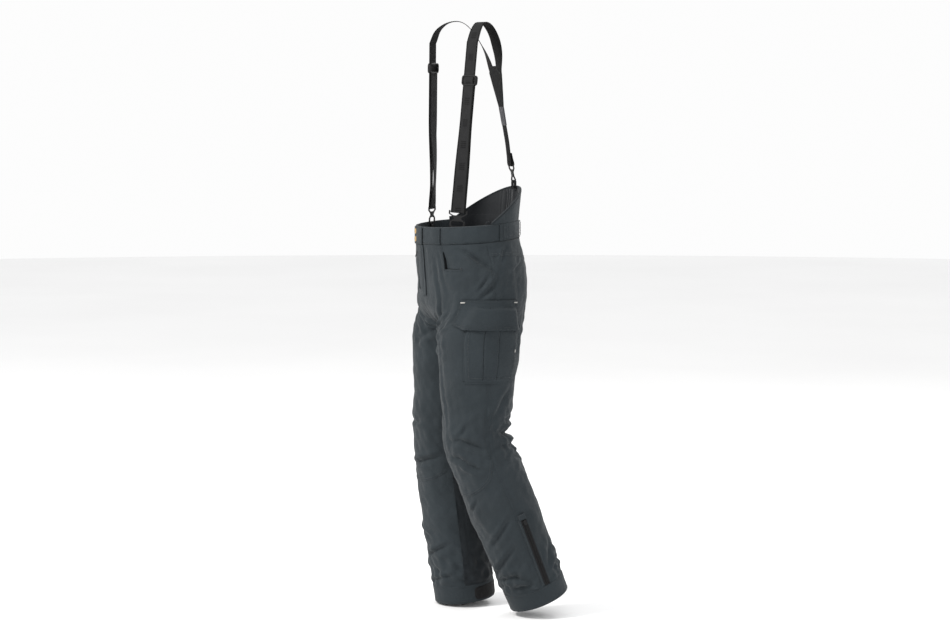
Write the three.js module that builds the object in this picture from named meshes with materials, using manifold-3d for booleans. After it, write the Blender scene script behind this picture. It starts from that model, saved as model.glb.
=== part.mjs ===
// Insulated ski pants with a raised back and adjustable Y-back suspenders.
// Millimetres. +Z is up, -Y is the wearer's front and +X the wearer's left.
// The origin is the middle of the waist opening, level with the waistband's top at the hips.
import * as THREE from "three";
import { mergeVertices } from "three/addons/utils/BufferGeometryUtils.js";
import Module from "manifold-3d";

const wasm = await Module();
wasm.setup();

// ---------------------------------------------------------------- driving dimensions

const GAP = 0.35; // air between two sewn or touching pieces
const SHELL = 5; // shell fabric, padding and lining together
const LEFT = 1;
const RIGHT = -1;

const WAIST = {
  halfWidth: 166,
  halfDepth: 136,
  centreY: 2,
  band: 47, // height of the waistband
  tilt: 0.066, // the rim falls this much per millimetre towards the front
};
const HIP = { halfWidth: 197, halfDepth: 142, centreY: 17, z: -181 };
const CROTCH_Z = -290;
const HEM_Z = -1050;
const CUFF = 50; // height of the hem cuff
const THIGH = { x: 101.5, y: 4, halfWidth: 100.5, halfDepth: 114 };

// The straight leg below the crotch: height, centre and half sizes.
const LEG = [
  { z: CROTCH_Z, x: THIGH.x, y: THIGH.y, halfWidth: THIGH.halfWidth, halfDepth: THIGH.halfDepth },
  { z: -400, x: 102, y: 3, halfWidth: 97, halfDepth: 105 },
  { z: -480, x: 103, y: 1, halfWidth: 91, halfDepth: 94 },
  { z: -575, x: 104, y: 0, halfWidth: 85, halfDepth: 86 },
  { z: -680, x: 106, y: 0, halfWidth: 89, halfDepth: 93 },
  { z: -820, x: 108, y: 0, halfWidth: 88, halfDepth: 91 },
  { z: HEM_Z, x: 110, y: 0, halfWidth: 80, halfDepth: 81 },
];

// Where the legs turn, and how far each is turned in this stance, in degrees.
const HIP_HINGE = { y: 0, z: -185 };
const KNEE_HINGE = { y: 0, z: -575 };
const KNEE_ZONE = 98; // the knee bends over this much fabric above and below its hinge
const CREASE = { lean: 55, start: 166, end: 282 }; // slanting band of fabric that bends at the hip
const STANCE = { [LEFT]: { hip: 1, knee: 23 }, [RIGHT]: { hip: 4, knee: 11 } };

const SHIN_TOP = KNEE_HINGE.z - KNEE_ZONE;
const THIGH_BOTTOM = KNEE_HINGE.z + KNEE_ZONE;

// ---------------------------------------------------------------- the garment's surface

const v3 = (x, y, z) => new THREE.Vector3(x, y, z);
const lerp = THREE.MathUtils.lerp;
const rad = THREE.MathUtils.degToRad;
const smooth = (a, b, x) => THREE.MathUtils.smoothstep(x, a, b);

// Half sizes of the straight leg at height z.
function legSection(z) {
  let i = 1;
  while (i < LEG.length - 1 && LEG[i].z > z) i++;
  const [p, q] = [LEG[i - 1], LEG[i]];
  const f = THREE.MathUtils.clamp((p.z - z) / (p.z - q.z), 0, 1);
  const mix = (key) => lerp(p[key], q[key], f);
  return { x: mix("x"), y: mix("y"), halfWidth: mix("halfWidth"), halfDepth: mix("halfDepth") };
}

// A closed loop round one leg: around 0 is the inseam, 0.25 the front, 0.5 the outer side, 0.75 the back.
function legLoop(section, z, around, inset) {
  const angle = 2 * Math.PI * around;
  return v3(
    section.x - (section.halfWidth - inset) * Math.cos(angle),
    section.y - (section.halfDepth - inset) * Math.sin(angle),
    z,
  );
}

// Half of the trunk: around 0 is the front centre, 0.5 the side and 1 the back centre.
function trunkArc(z, around, inset) {
  const f = THREE.MathUtils.clamp((-WAIST.band - z) / (-WAIST.band - HIP.z), 0, 1);
  const swell = Math.sin((f * Math.PI) / 2);
  const halfWidth = lerp(WAIST.halfWidth, HIP.halfWidth, swell) - inset;
  const front = lerp(WAIST.centreY - WAIST.halfDepth, HIP.centreY - HIP.halfDepth, f) + inset;
  const back = lerp(WAIST.centreY + WAIST.halfDepth, HIP.centreY + HIP.halfDepth, swell) - inset;
  const angle = Math.PI * around;
  return v3(
    halfWidth * Math.sin(angle),
    (front + back) / 2 - ((back - front) / 2) * Math.cos(angle),
    0,
  );
}

// A point of the left half with both legs straight. Height is measured at the side of the body.
function straightPoint(z, around, inset = 0) {
  if (z <= CROTCH_Z) return legLoop(legSection(z), z, around, inset);
  const fold = THREE.MathUtils.clamp((HIP.z - z) / (HIP.z - CROTCH_Z), 0, 1);
  const share = 1 - Math.cos((fold * Math.PI) / 2);
  const arc = trunkArc(z, around, inset);
  const loop = legLoop(legSection(CROTCH_Z), 0, around, inset);
  const edge = Math.abs(Math.cos(Math.PI * around)) ** 3;
  const riseZ = fold > 0 ? lerp(HIP.z, CROTCH_Z + inset, Math.sin((fold * Math.PI) / 2)) : z;
  const p = arc.lerp(loop, share);
  p.z = lerp(z, riseZ, edge);
  if (z > HIP.z) p.z += WAIST.tilt * p.y * smooth(HIP.z, -WAIST.band, z);
  return p;
}

// Turns a point about a hinge that runs across the body.
function turned(p, hinge, degrees) {
  const a = rad(degrees);
  const [y, z] = [p.y - hinge.y, p.z - hinge.z];
  return v3(p.x, hinge.y + y * Math.cos(a) - z * Math.sin(a), hinge.z + y * Math.sin(a) + z * Math.cos(a));
}

// How much of the hip's turn a point takes, along a slanting crease that spares the crotch seam.
function hipShare(p) {
  const along = Math.abs(p.x) * Math.sin(rad(CREASE.lean)) - p.z * Math.cos(rad(CREASE.lean));
  return smooth(CREASE.start, CREASE.end, along);
}

const kneeShare = (p) => smooth(-THIGH_BOTTOM, -SHIN_TOP, -p.z);

// Puts a point of the straight left half into this stance, on either side.
function stand(side, p) {
  const { hip, knee } = STANCE[side];
  const q = turned(turned(p, KNEE_HINGE, knee * kneeShare(p)), HIP_HINGE, -hip * hipShare(p));
  q.x *= side;
  return q;
}

// The direction out of the straight surface.
function straightNormal(z, around) {
  const d = 0.002;
  const along = straightPoint(z, around + d).sub(straightPoint(z, around - d));
  const up = straightPoint(z + 2, around).sub(straightPoint(z - 2, around));
  return along.cross(up).normalize();
}

// A point out from the outer surface, in this stance.
function skin(side, z, around, out = 0) {
  return stand(side, straightPoint(z, around).addScaledVector(straightNormal(z, around), out));
}

// The waistband and what rises above it follow the waist's own ellipse.
function waistPoint(side, z, around, inset = 0) {
  const p = trunkArc(-WAIST.band, around, inset);
  return v3(side * p.x, p.y, z + WAIST.tilt * p.y);
}

// ---------------------------------------------------------------- making solids

const group = new THREE.Group();

function geometryOf(positions, triangles) {
  const g = new THREE.BufferGeometry();
  g.setAttribute("position", new THREE.Float32BufferAttribute(positions.flatMap((p) => [p.x, p.y, p.z]), 3));
  let volume = 0;
  for (const [a, b, c] of triangles) volume += positions[a].dot(positions[b].clone().cross(positions[c]));
  g.setIndex(triangles.flatMap(([a, b, c]) => (volume < 0 ? [a, c, b] : [a, b, c])));
  return g;
}

// A closed sheet with thickness between two surfaces of (u, v), both from 0 to 1.
// It can close on itself along u.
function sheet(outer, inner, nu, nv, closed = false) {
  const positions = [];
  const columns = closed ? nu : nu + 1;
  for (const surface of [outer, inner])
    for (let j = 0; j <= nv; j++) for (let i = 0; i < columns; i++) positions.push(surface(i / nu, j / nv));
  const at = (layer, i, j) => (layer * (nv + 1) + j) * columns + (i % columns);
  const triangles = [];
  const quad = (a, b, c, d) => triangles.push([a, b, c], [a, c, d]);
  for (let j = 0; j < nv; j++)
    for (let i = 0; i < nu; i++) {
      quad(at(0, i, j), at(0, i + 1, j), at(0, i + 1, j + 1), at(0, i, j + 1));
      quad(at(1, i, j + 1), at(1, i + 1, j + 1), at(1, i + 1, j), at(1, i, j));
    }
  for (let i = 0; i < nu; i++) {
    quad(at(1, i, 0), at(1, i + 1, 0), at(0, i + 1, 0), at(0, i, 0));
    quad(at(0, i, nv), at(0, i + 1, nv), at(1, i + 1, nv), at(1, i, nv));
  }
  for (let j = 0; j < nv && !closed; j++) {
    quad(at(0, 0, j), at(0, 0, j + 1), at(1, 0, j + 1), at(1, 0, j));
    quad(at(1, nu, j), at(1, nu, j + 1), at(0, nu, j + 1), at(0, nu, j));
  }
  return geometryOf(positions, triangles);
}

function solidOf(geometry) {
  const bare = geometry.index ? geometry.toNonIndexed() : geometry.clone();
  bare.deleteAttribute("normal");
  bare.deleteAttribute("uv");
  const merged = mergeVertices(bare, 1e-3);
  return new wasm.Manifold(
    new wasm.Mesh({
      numProp: 3,
      vertProperties: merged.attributes.position.array,
      triVerts: new Uint32Array(merged.index.array),
    }),
  );
}

function geometryOfSolid(solid) {
  const mesh = solid.getMesh();
  const g = new THREE.BufferGeometry();
  g.setAttribute("position", new THREE.BufferAttribute(new Float32Array(mesh.vertProperties), 3));
  g.setIndex(new THREE.BufferAttribute(new Uint32Array(mesh.triVerts), 1));
  return g;
}

const cut = (body, ...tools) =>
  geometryOfSolid(tools.reduce((left, tool) => left.subtract(solidOf(tool)), solidOf(body)));
const joined = (body, ...others) =>
  geometryOfSolid(others.reduce((all, other) => all.add(solidOf(other)), solidOf(body)));

const MATERIALS = {
  shell: new THREE.MeshStandardMaterial({ color: 0x434a4e, roughness: 0.85 }),
  guard: new THREE.MeshStandardMaterial({ color: 0x2f3337, roughness: 0.9 }),
  lining: new THREE.MeshStandardMaterial({ color: 0x2a2c30, roughness: 0.95 }),
  webbing: new THREE.MeshStandardMaterial({ color: 0x343435, roughness: 0.9 }),
  elastic: new THREE.MeshStandardMaterial({ color: 0x0c0c0d, roughness: 0.9 }),
  plastic: new THREE.MeshStandardMaterial({ color: 0x1c1c1d, roughness: 0.5 }),
  brass: new THREE.MeshStandardMaterial({ color: 0xb48a46, roughness: 0.35, metalness: 1 }),
};

function add(name, geometry, material, parent = group) {
  const mesh = new THREE.Mesh(geometry, MATERIALS[material]);
  mesh.name = name;
  parent.add(mesh);
  return mesh;
}

const nameOf = (base, side) => `${base}_${side === LEFT ? "left" : "right"}`;

const steps = (from, to, count) => Array.from({ length: count + 1 }, (_, i) => lerp(from, to, i / count));

// A block of cloth on the garment, over rows of heights and columns of places round it,
// between two distances out.
function clothBlock(side, heights, places, low, high) {
  const [nu, nv] = [places.length - 1, heights.length - 1];
  const surface = (out) => (u, v) => {
    const [z, around] = [heights[Math.round(v * nv)], places[Math.round(u * nu)]];
    return skin(side, z, around, typeof out === "function" ? out(z, around) : out);
  };
  return sheet(surface(high), surface(low), nu, nv);
}

// A wall of the garment itself, between two heights and two places round it.
function panel(side, [top, bottom], [from, to], nu, nv) {
  const surface = (inset) => (u, v) => {
    const z = lerp(top, bottom, v);
    const start = typeof from === "function" ? from(z) : from;
    const end = typeof to === "function" ? to(z) : to;
    return stand(side, straightPoint(z, lerp(start, end, u), inset));
  };
  return sheet(surface(0), surface(SHELL), nu, nv);
}

// A sleeve round the whole leg.
function sleeve(side, [top, bottom], [outerInset, innerInset], nu, nv) {
  const surface = (inset) => (u, v) => stand(side, straightPoint(lerp(top, bottom, v), u, inset));
  return sheet(surface(outerInset), surface(innerInset), nu, nv, true);
}

// ---------------------------------------------------------------- trunk: waistband, hips, raised back

const SIDE_SEAM = 0.5; // place of the outseam
const SEAM = 0.0025; // half of the gap between two panels, as a share of the way round
const ROWS = { hip: 8, thigh: 4, knee: 8, shin: 6 };
const COLUMNS = 8;

const FLY = {
  zipX: -19, // the zip lies to the wearer's right of the middle
  bottom: -180,
  opening: 30, // the right front panel stops this far from the middle, above the fly's end
  hingeX: 33, // the cover folds about its seam here
  coverEdge: -11, // and covers the front as far as this
  tabEdge: -26,
  coverOut: 1.2,
  coverThick: 2.2,
  tabOut: 3.4, // the tab lies this far out from the band's front, over the snap studs
  zipTop: 11, // the zip's top is this far below the band
};

// The front edge of a front panel, as a share of the way round.
function frontEdge(side) {
  return (z) => {
    const open = side === RIGHT ? Math.asin(FLY.opening / WAIST.halfWidth) / Math.PI : 0.008;
    return lerp(0.004, open, smooth(FLY.bottom - 40, FLY.bottom, z));
  };
}

function addHips(side) {
  const heights = [-WAIST.band - GAP, CROTCH_Z + GAP];
  add(
    nameOf("hip_front", side),
    cut(panel(side, heights, [frontEdge(side), SIDE_SEAM - SEAM], COLUMNS, ROWS.hip), ...pocketSlit(side)),
    "shell",
  );
  add(
    nameOf("seat", side),
    panel(side, heights, [SIDE_SEAM + SEAM, 0.996], COLUMNS, ROWS.hip),
    "shell",
  );
}

const BAND = { thick: 6, frontGap: 2, sideEnd: 0.62 }; // the band's back part is elasticated
const BELT_LOOPS = [0.2, 0.6]; // places round the front part of the band
const BACK_LOOP = 0.86;
const LOOP = { width: 10, thick: 1.6, lift: 1.2, tall: 44 };

// A strip of the waistband, with the belt loops that are sewn over it.
function bandPart(side, [from, to], loops) {
  const wall = (inset) => (u, v) => waistPoint(side, -v * WAIST.band, lerp(from, to, u), inset);
  const strip = sheet(wall(0), wall(BAND.thick), 14, 1);
  return loops.reduce((all, place) => joined(all, beltLoop(side, place)), strip);
}

// A belt loop: a strap that stands off the band and is sewn to it at its two ends.
function beltLoop(side, place) {
  const half = LOOP.width / 2 / (Math.PI * WAIST.halfWidth * 0.92);
  const middle = -WAIST.band / 2;
  const box = (z0, z1, low, high) => {
    const wall = (inset) => (u, v) =>
      waistPoint(side, lerp(z0, z1, v), lerp(place - half, place + half, u), inset);
    return sheet(wall(-high), wall(-low), 1, 1);
  };
  const [top, bottom] = [middle + LOOP.tall / 2, middle - LOOP.tall / 2];
  const seat = 5; // height of each sewn end
  return joined(
    box(top, bottom, LOOP.lift, LOOP.lift + LOOP.thick),
    box(top, top - seat, -1, LOOP.lift + LOOP.thick / 2),
    box(bottom + seat, bottom, -1, LOOP.lift + LOOP.thick / 2),
  );
}

// Side and place at a share u of the way across the back, from one side to the same place on the other.
const acrossBack = (start, u) =>
  u < 0.5 ? [LEFT, lerp(start, 1, 2 * u)] : [RIGHT, lerp(1, start, 2 * u - 1)];

function addWaistband() {
  const start = Math.asin(BAND.frontGap / WAIST.halfWidth) / Math.PI;
  for (const side of [LEFT, RIGHT])
    add(
      nameOf("waistband", side),
      bandPart(side, [start, BAND.sideEnd - SEAM], BELT_LOOPS),
      "shell",
    );
  const wall = (inset) => (u, v) => {
    const [side, place] = acrossBack(BAND.sideEnd + SEAM, u);
    return waistPoint(side, -v * WAIST.band, place, inset);
  };
  const strip = sheet(wall(0), wall(BAND.thick), 16, 1);
  add("waistband_back", joined(strip, beltLoop(LEFT, BACK_LOOP), beltLoop(RIGHT, BACK_LOOP)), "shell");
}

const YOKE = { start: 0.535, height: 84, flare: 7, thick: 3.5, inset: 1, ends: 1.5 };

// Height of the raised back above the waistband, from its ends at the sides to the middle.
function yokeRise(around) {
  const share = (around - YOKE.start) / (1 - YOKE.start);
  return YOKE.ends + YOKE.height * Math.sin((Math.PI / 2) * share);
}

function addBackYoke() {
  const wall = (inset) => (u, v) => {
    const [side, around] = acrossBack(YOKE.start, u);
    const up = GAP + v * yokeRise(around);
    return waistPoint(side, up, around, inset - (YOKE.flare * up) / YOKE.height);
  };
  add("back_yoke", sheet(wall(YOKE.inset), wall(YOKE.inset + YOKE.thick), 20, 3), "shell");
}

// ---------------------------------------------------------------- fly: cover, snaps, zip

const FLY_FRONT = {
  top: WAIST.centreY - WAIST.halfDepth,
  bottom: HIP.centreY - HIP.halfDepth,
  curve: 190, // radius of the body's curve across the fly
};

// The front of the trunk is straight down to the hips, so the fly is flat: a point at x,
// a height and a distance out.
function flyPoint(x, z, out) {
  const f = (-WAIST.band - z) / (-WAIST.band - HIP.z);
  const bulge = (x * x) / (2 * FLY_FRONT.curve);
  const y = lerp(FLY_FRONT.top, FLY_FRONT.bottom, Math.max(f, 0)) + bulge - out;
  return v3(x, y, z + WAIST.tilt * FLY_FRONT.top * smooth(HIP.z, -WAIST.band, z));
}

function flySheet([left, right], [top, bottom], [low, high], nu, nv) {
  const surface = (out) => (u, v) => flyPoint(lerp(left, right, u), lerp(top, bottom, v), out);
  return sheet(surface(high), surface(low), nu, nv);
}

const SNAP = { x: -14, heights: [-13, -34], radius: 7.5, capThick: 2.4, proud: 0.9, studRadius: 3.2 };
const ZIP = { tapeWidth: 26, tapeThick: 1, chainWidth: 6, chainThick: 2, sunk: 0.1, depth: 8.6 };
const SLIDER = { width: 9, length: 12, thick: 4, wall: 1.2, clearance: 0.3 };
const PULL = { width: 6, length: 26, thick: 2, lean: 24 };

// Basis whose Z runs up a zip and whose Y points out of the garment.
function zipFrame(foot, top, out) {
  const up = top.clone().sub(foot).normalize();
  const across = out.clone().cross(up).normalize();
  const basis = new THREE.Matrix4().makeBasis(across, up.clone().cross(across), up);
  basis.setPosition(foot);
  return basis;
}

const box = (width, depth, height, x = 0, y = 0, z = 0) =>
  new THREE.BoxGeometry(width, depth, height).translate(x, y, z);

// Tape with the row of teeth standing on it. Its foot is at the frame's origin.
function zipTape(frame, length) {
  const tape = box(ZIP.tapeWidth, ZIP.tapeThick, length, 0, 0, length / 2);
  const chainOut = (ZIP.tapeThick + ZIP.chainThick) / 2 - ZIP.sunk;
  const chain = box(ZIP.chainWidth, ZIP.chainThick, length, 0, chainOut, length / 2);
  return joined(tape, chain).applyMatrix4(frame);
}

// A slider that straddles the teeth, at this height up the zip.
function zipSlider(frame, at) {
  const foot = ZIP.tapeThick / 2 + SLIDER.clearance;
  const roof = foot + SLIDER.thick / 2;
  const body = box(SLIDER.width, SLIDER.thick, SLIDER.length, 0, roof, at);
  const channel = box(
    ZIP.chainWidth + 2 * SLIDER.clearance,
    SLIDER.thick,
    SLIDER.length + 2,
    0,
    roof - SLIDER.wall,
    at,
  );
  return cut(body, channel).applyMatrix4(frame);
}

// A pull that hangs from the slider and stands out at its lower end.
function zipPull(frame, at, out) {
  return box(PULL.width, PULL.thick, PULL.length, 0, PULL.thick / 2, -PULL.length / 2)
    .rotateX(rad(PULL.lean))
    .translate(0, out, at)
    .applyMatrix4(frame);
}

const sliderTop = ZIP.tapeThick / 2 + SLIDER.clearance + SLIDER.thick;
const flyFrame = zipFrame(
  flyPoint(FLY.zipX, FLY.bottom, -ZIP.depth),
  flyPoint(FLY.zipX, -WAIST.band - 6, -ZIP.depth),
  v3(0, -1, 0),
);
const FLY_ZIP_LENGTH = -WAIST.band - FLY.zipTop - FLY.bottom;

function addFly() {
  add(
    "fly_placket",
    flySheet(
      [FLY.coverEdge, FLY.hingeX],
      [-WAIST.band - 1, FLY.bottom - 12],
      [FLY.coverOut, FLY.coverOut + FLY.coverThick],
      4,
      4,
    ),
    "shell",
  );
  add(
    "waist_tab",
    flySheet([FLY.tabEdge, FLY.hingeX], [0, -WAIST.band], [FLY.tabOut, FLY.tabOut + FLY.coverThick], 5, 1),
    "shell",
  );
  SNAP.heights.forEach((z, i) => {
    const label = i === 0 ? "upper" : "lower";
    const disc = (radius, thick, out) =>
      new THREE.CylinderGeometry(radius, radius, thick, 16)
        .translate(0, -thick / 2, 0)
        .applyMatrix4(new THREE.Matrix4().setPosition(flyPoint(SNAP.x, z, out)));
    const capOut = FLY.tabOut + FLY.coverThick + SNAP.proud;
    add(`snap_cap_${label}`, disc(SNAP.radius, SNAP.capThick, capOut), "brass");
    add(`snap_stud_${label}`, disc(SNAP.studRadius, FLY.tabOut - GAP - SNAP.proud, SNAP.proud), "brass");
  });
  add("fly_zip", zipTape(flyFrame, FLY_ZIP_LENGTH), "elastic");
  add("fly_slider", zipSlider(flyFrame, FLY_ZIP_LENGTH - SLIDER.length), "plastic");
  add("fly_pull", zipPull(flyFrame, FLY_ZIP_LENGTH - SLIDER.length + 2, sliderTop + GAP), "plastic");
}

// ---------------------------------------------------------------- hand pocket bags

const BAG = { from: 0.205, to: 0.37, top: -62, bottom: -196, wall: 1.2, space: 7, depth: SHELL + 2 };
const SLIT = { around: 0.222, half: 0.0052, top: -66, bottom: -114, across: 0.315, tall: 3.4 };

// The L-shaped hand-pocket opening: a slot down the front of the pocket and one back along its lower edge.
function pocketSlit(side) {
  const [near, far] = [SLIT.around - SLIT.half, SLIT.around + SLIT.half];
  const reach = -BAG.depth - BAG.wall - 2;
  return [
    clothBlock(side, steps(SLIT.top, SLIT.bottom, 2), [near, far], reach, 3),
    clothBlock(side, [SLIT.bottom + SLIT.tall, SLIT.bottom], steps(near + 0.001, SLIT.across, 3), reach, 3),
  ];
}

function addPocketBag(side) {
  const rim = 0.008; // width of the sewn edge, as a share of the way round
  const inner = BAG.depth + 2 * BAG.wall + BAG.space;
  const bag = clothBlock(side, steps(BAG.top, BAG.bottom, 3), steps(BAG.from, BAG.to, 4), -inner, -BAG.depth);
  const space = clothBlock(
    side,
    steps(BAG.top - 8, BAG.bottom + 8, 3),
    steps(BAG.from + rim, BAG.to - rim, 4),
    -inner + BAG.wall,
    -BAG.depth - BAG.wall,
  );
  add(nameOf("pocket_bag", side), cut(bag, space, ...pocketSlit(side)), "lining");
}

// ---------------------------------------------------------------- legs

const GUARD = { from: 0.78, to: 1.035 }; // the scuff guard runs from behind to just past the inseam

function addLeg(side) {
  const thigh = [CROTCH_Z - GAP, THIGH_BOTTOM + GAP];
  add(nameOf("thigh_front", side), panel(side, thigh, [0.004, SIDE_SEAM - SEAM], COLUMNS, ROWS.thigh), "shell");
  add(nameOf("thigh_back", side), panel(side, thigh, [SIDE_SEAM + SEAM, 0.996], COLUMNS, ROWS.thigh), "shell");
  const knee = [THIGH_BOTTOM - GAP, SHIN_TOP + GAP];
  add(nameOf("knee_section", side), sleeve(side, knee, [0, SHELL], 16, ROWS.knee), "shell");
  const shin = [SHIN_TOP - GAP, HEM_Z + CUFF + GAP];
  const [front, back, inner] = [
    panel(side, shin, [GUARD.to - 1 + SEAM, SIDE_SEAM - SEAM], COLUMNS, ROWS.shin),
    panel(side, shin, [SIDE_SEAM + SEAM, GUARD.from - SEAM], 6, ROWS.shin),
    panel(side, shin, [GUARD.from + SEAM, GUARD.to - SEAM], 6, ROWS.shin),
  ];
  add(nameOf("shin_front", side), front, "shell");
  add(nameOf("shin_back", side), back, "shell");
  add(nameOf("inner_guard", side), inner, "guard");
  add(nameOf("hem_cuff", side), sleeve(side, [HEM_Z + CUFF - GAP, HEM_Z], [-1, SHELL], 20, 2), "shell");
  addHemPatch(side);
  addGaiter(side);
  addSideZip(side);
  addCargoPocket(side);
}

const PATCH = { from: 0.775, to: 0.99, top: HEM_Z + 42, bottom: HEM_Z + 6, thick: 1.6 };

function addHemPatch(side) {
  const low = 1 + GAP;
  add(
    nameOf("hem_patch", side),
    clothBlock(side, [PATCH.top, PATCH.bottom], steps(PATCH.from, PATCH.to, 8), low, low + PATCH.thick),
    "elastic",
  );
}

const GAITER = { top: -840, bottom: HEM_Z + 8, topInset: 8, bottomInset: 26, thick: 2 };

// The inner snow gaiter: sewn near the shell at its top, and drawn in by elastic below.
function addGaiter(side) {
  const surface = (thick) => (u, v) =>
    stand(
      side,
      straightPoint(
        lerp(GAITER.top, GAITER.bottom, v),
        u,
        lerp(GAITER.topInset, GAITER.bottomInset, Math.sqrt(v)) + thick,
      ),
    );
  add(nameOf("snow_gaiter", side), sheet(surface(0), surface(GAITER.thick), 16, 3, true), "lining");
}

const SIDE_ZIP = { around: 0.53, length: 196, out: 0.9 };

// The side zip lies on the outer side of the shin, from the cuff up.
function sideZipFrame(side) {
  const foot = HEM_Z + CUFF + 1;
  const at = (z) => skin(side, z, SIDE_ZIP.around, SIDE_ZIP.out);
  const outward = skin(side, foot, SIDE_ZIP.around, 10).sub(skin(side, foot, SIDE_ZIP.around, 0));
  return zipFrame(at(foot), at(foot + SIDE_ZIP.length), outward);
}

function addSideZip(side) {
  const frame = sideZipFrame(side);
  add(nameOf("side_zip", side), zipTape(frame, SIDE_ZIP.length), "elastic");
  add(nameOf("side_slider", side), zipSlider(frame, SIDE_ZIP.length - SLIDER.length), "plastic");
}

const CARGO = {
  from: 0.4,
  to: 0.618,
  top: -214,
  bottom: -414,
  mouth: 56, // the pouch gets shallower over this height, up to its open top
  foot: 60, // and over this height, down to its lower end
  depth: 18.5,
  mouthDepth: 17.5,
  wall: 1.9,
  seat: 1.8,
  rim: 0.009, // width of its side walls, as a share of the way round
};
const FLAP = {
  from: 0.352,
  to: 0.64,
  top: -200,
  bottom: -276,
  thick: 2.6,
  lift: 2.9,
  overPouch: 2, // it clears the pouch by at least this at its sides
  corner: 0.045, // the cut corner's length, as a share of the way round
  cornerTall: 26,
};

// How far the pouch's outside stands off the leg at height z: shallow at its mouth and towards its lower end.
function pouchDepth(z) {
  const mouth = 1 - smooth(CARGO.top - CARGO.mouth, CARGO.top, z);
  const foot = smooth(CARGO.bottom, CARGO.bottom + CARGO.foot, z);
  return Math.min(lerp(CARGO.mouthDepth, CARGO.depth, mouth), lerp(CARGO.depth / 2, CARGO.depth, foot));
}

// The wedge that takes off the flap's lower front corner.
function flapCorner(side) {
  const reach = (z) => FLAP.from - 0.01 + (FLAP.corner * (FLAP.bottom + FLAP.cornerTall - z)) / FLAP.cornerTall;
  const surface = (out) => (u, v) => {
    const z = lerp(FLAP.bottom + FLAP.cornerTall + 4, FLAP.bottom - 4, v);
    return skin(side, z, lerp(FLAP.from - 0.03, reach(z), u), out);
  };
  return sheet(surface(CARGO.depth + 12), surface(-1), 2, 3);
}

// A bellows pouch on the outside of the thigh, open at its top, and the flap that closes it.
function addCargoPocket(side) {
  const mouth = steps(CARGO.top, CARGO.top - CARGO.mouth, 2);
  const heights = [...mouth, CROTCH_Z, ...steps(CROTCH_Z - 34, CARGO.bottom, 4)];
  const pouch = clothBlock(side, heights, steps(CARGO.from, CARGO.to, 8), CARGO.seat, pouchDepth);
  const inside = heights.map((z, i) => (i === 0 ? z + 12 : Math.max(z, CARGO.bottom + 4)));
  const space = clothBlock(
    side,
    inside,
    steps(CARGO.from + CARGO.rim, CARGO.to - CARGO.rim, 8),
    CARGO.seat + CARGO.wall,
    (z) => pouchDepth(Math.min(z, CARGO.top)) - CARGO.wall,
  );
  add(nameOf("cargo_pocket", side), cut(pouch, space), "shell");

  const places = [FLAP.from, FLAP.from + 0.02, CARGO.from - 0.012, ...steps(CARGO.from, CARGO.to, 5), FLAP.to];
  const rows = [FLAP.top, CARGO.top + 1, ...steps(CARGO.top - 20, FLAP.bottom, 2)];
  const lie = (z, around) => {
    const abovePouch = z > CARGO.top + 2;
    const front = smooth(FLAP.from + 0.02, CARGO.from - 0.012, around);
    const back = 1 - smooth(CARGO.to, FLAP.to, around);
    const over = abovePouch ? 0 : Math.max(pouchDepth(Math.min(z, CARGO.top)), FLAP.overPouch);
    return FLAP.lift + over * front * back;
  };
  const flap = clothBlock(side, rows, places, lie, (z, around) => lie(z, around) + FLAP.thick);
  add(nameOf("cargo_flap", side), cut(flap, flapCorner(side)), "shell");
}

// ---------------------------------------------------------------- suspenders

const WEB = { width: 40, thick: 1.6, layerGap: 4.4 }; // the webbing is doubled below its adjuster
const HOOK = {
  barRadius: 0.9,
  plate: 3.6,
  arm: 3.8, // width of its sides, beside the webbing's slot
  webClearance: 1.2,
  slotTop: 3.9, // the webbing's slot is open this far above the bar's middle
  slotBottom: -2.7,
  ringBar: 40,
};

// The fabric tabs that hold the hooks. A front tab's own bar is underBar below its hook's ring bar.
const TAB = { width: 22, drop: 22, halfGap: 2.6, underBar: 6.4, thick: 1.2 };
const BACK_TAB = { width: 20, drop: 20, halfGap: 3.9, offYoke: 6, overYoke: 24 };

const SLACK_TOP = 0.45; // the doubled webbing's layers meet this far up the front run
const OVER = { turn: 20, from: 0.35, to: 0.6 }; // the webbing's turn behind the shoulder, and where

// Each strap: its tab's bar inside the waistband, the top of its straight front run, then its way over
// the shoulder to the middle of the back. The turns are those of its width at the foot, just above it
// and higher up, in degrees.
const STRAP = {
  [LEFT]: {
    tabBar: waistPoint(LEFT, -7.7, 0.3068, 15.45),
    head: v3(106, -16, 480),
    over: [v3(98, -4, 515), v3(90, 12, 533), v3(82, 34, 524), v3(72, 55, 493), v3(52, 71, 452)],
    turns: [62, 52, 30],
    adjuster: 0.775,
    slack: 0.5, // the rear layer stands this much further off the front one, below SLACK_TOP
  },
  [RIGHT]: {
    tabBar: waistPoint(LEFT, -8.4, 0.3166, 21.8),
    head: v3(111, -58, 480),
    over: [v3(104, -46, 515), v3(94, -18, 536), v3(86, 16, 536), v3(74, 45, 508), v3(54, 68, 460)],
    turns: [38, 27, 44],
    adjuster: 0.85,
    slack: 5,
  },
};

const STRAP_END = v3(33, 80, 412); // at the yoke

// The front run starts at the hook's upper bar.
for (const strap of Object.values(STRAP)) {
  const hook = strap.head.clone().sub(strap.tabBar).setLength(HOOK.ringBar + TAB.underBar);
  strap.foot = hook.add(strap.tabBar);
}

const mirrored = (side, p) => v3(side * p.x, p.y, p.z);

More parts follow.
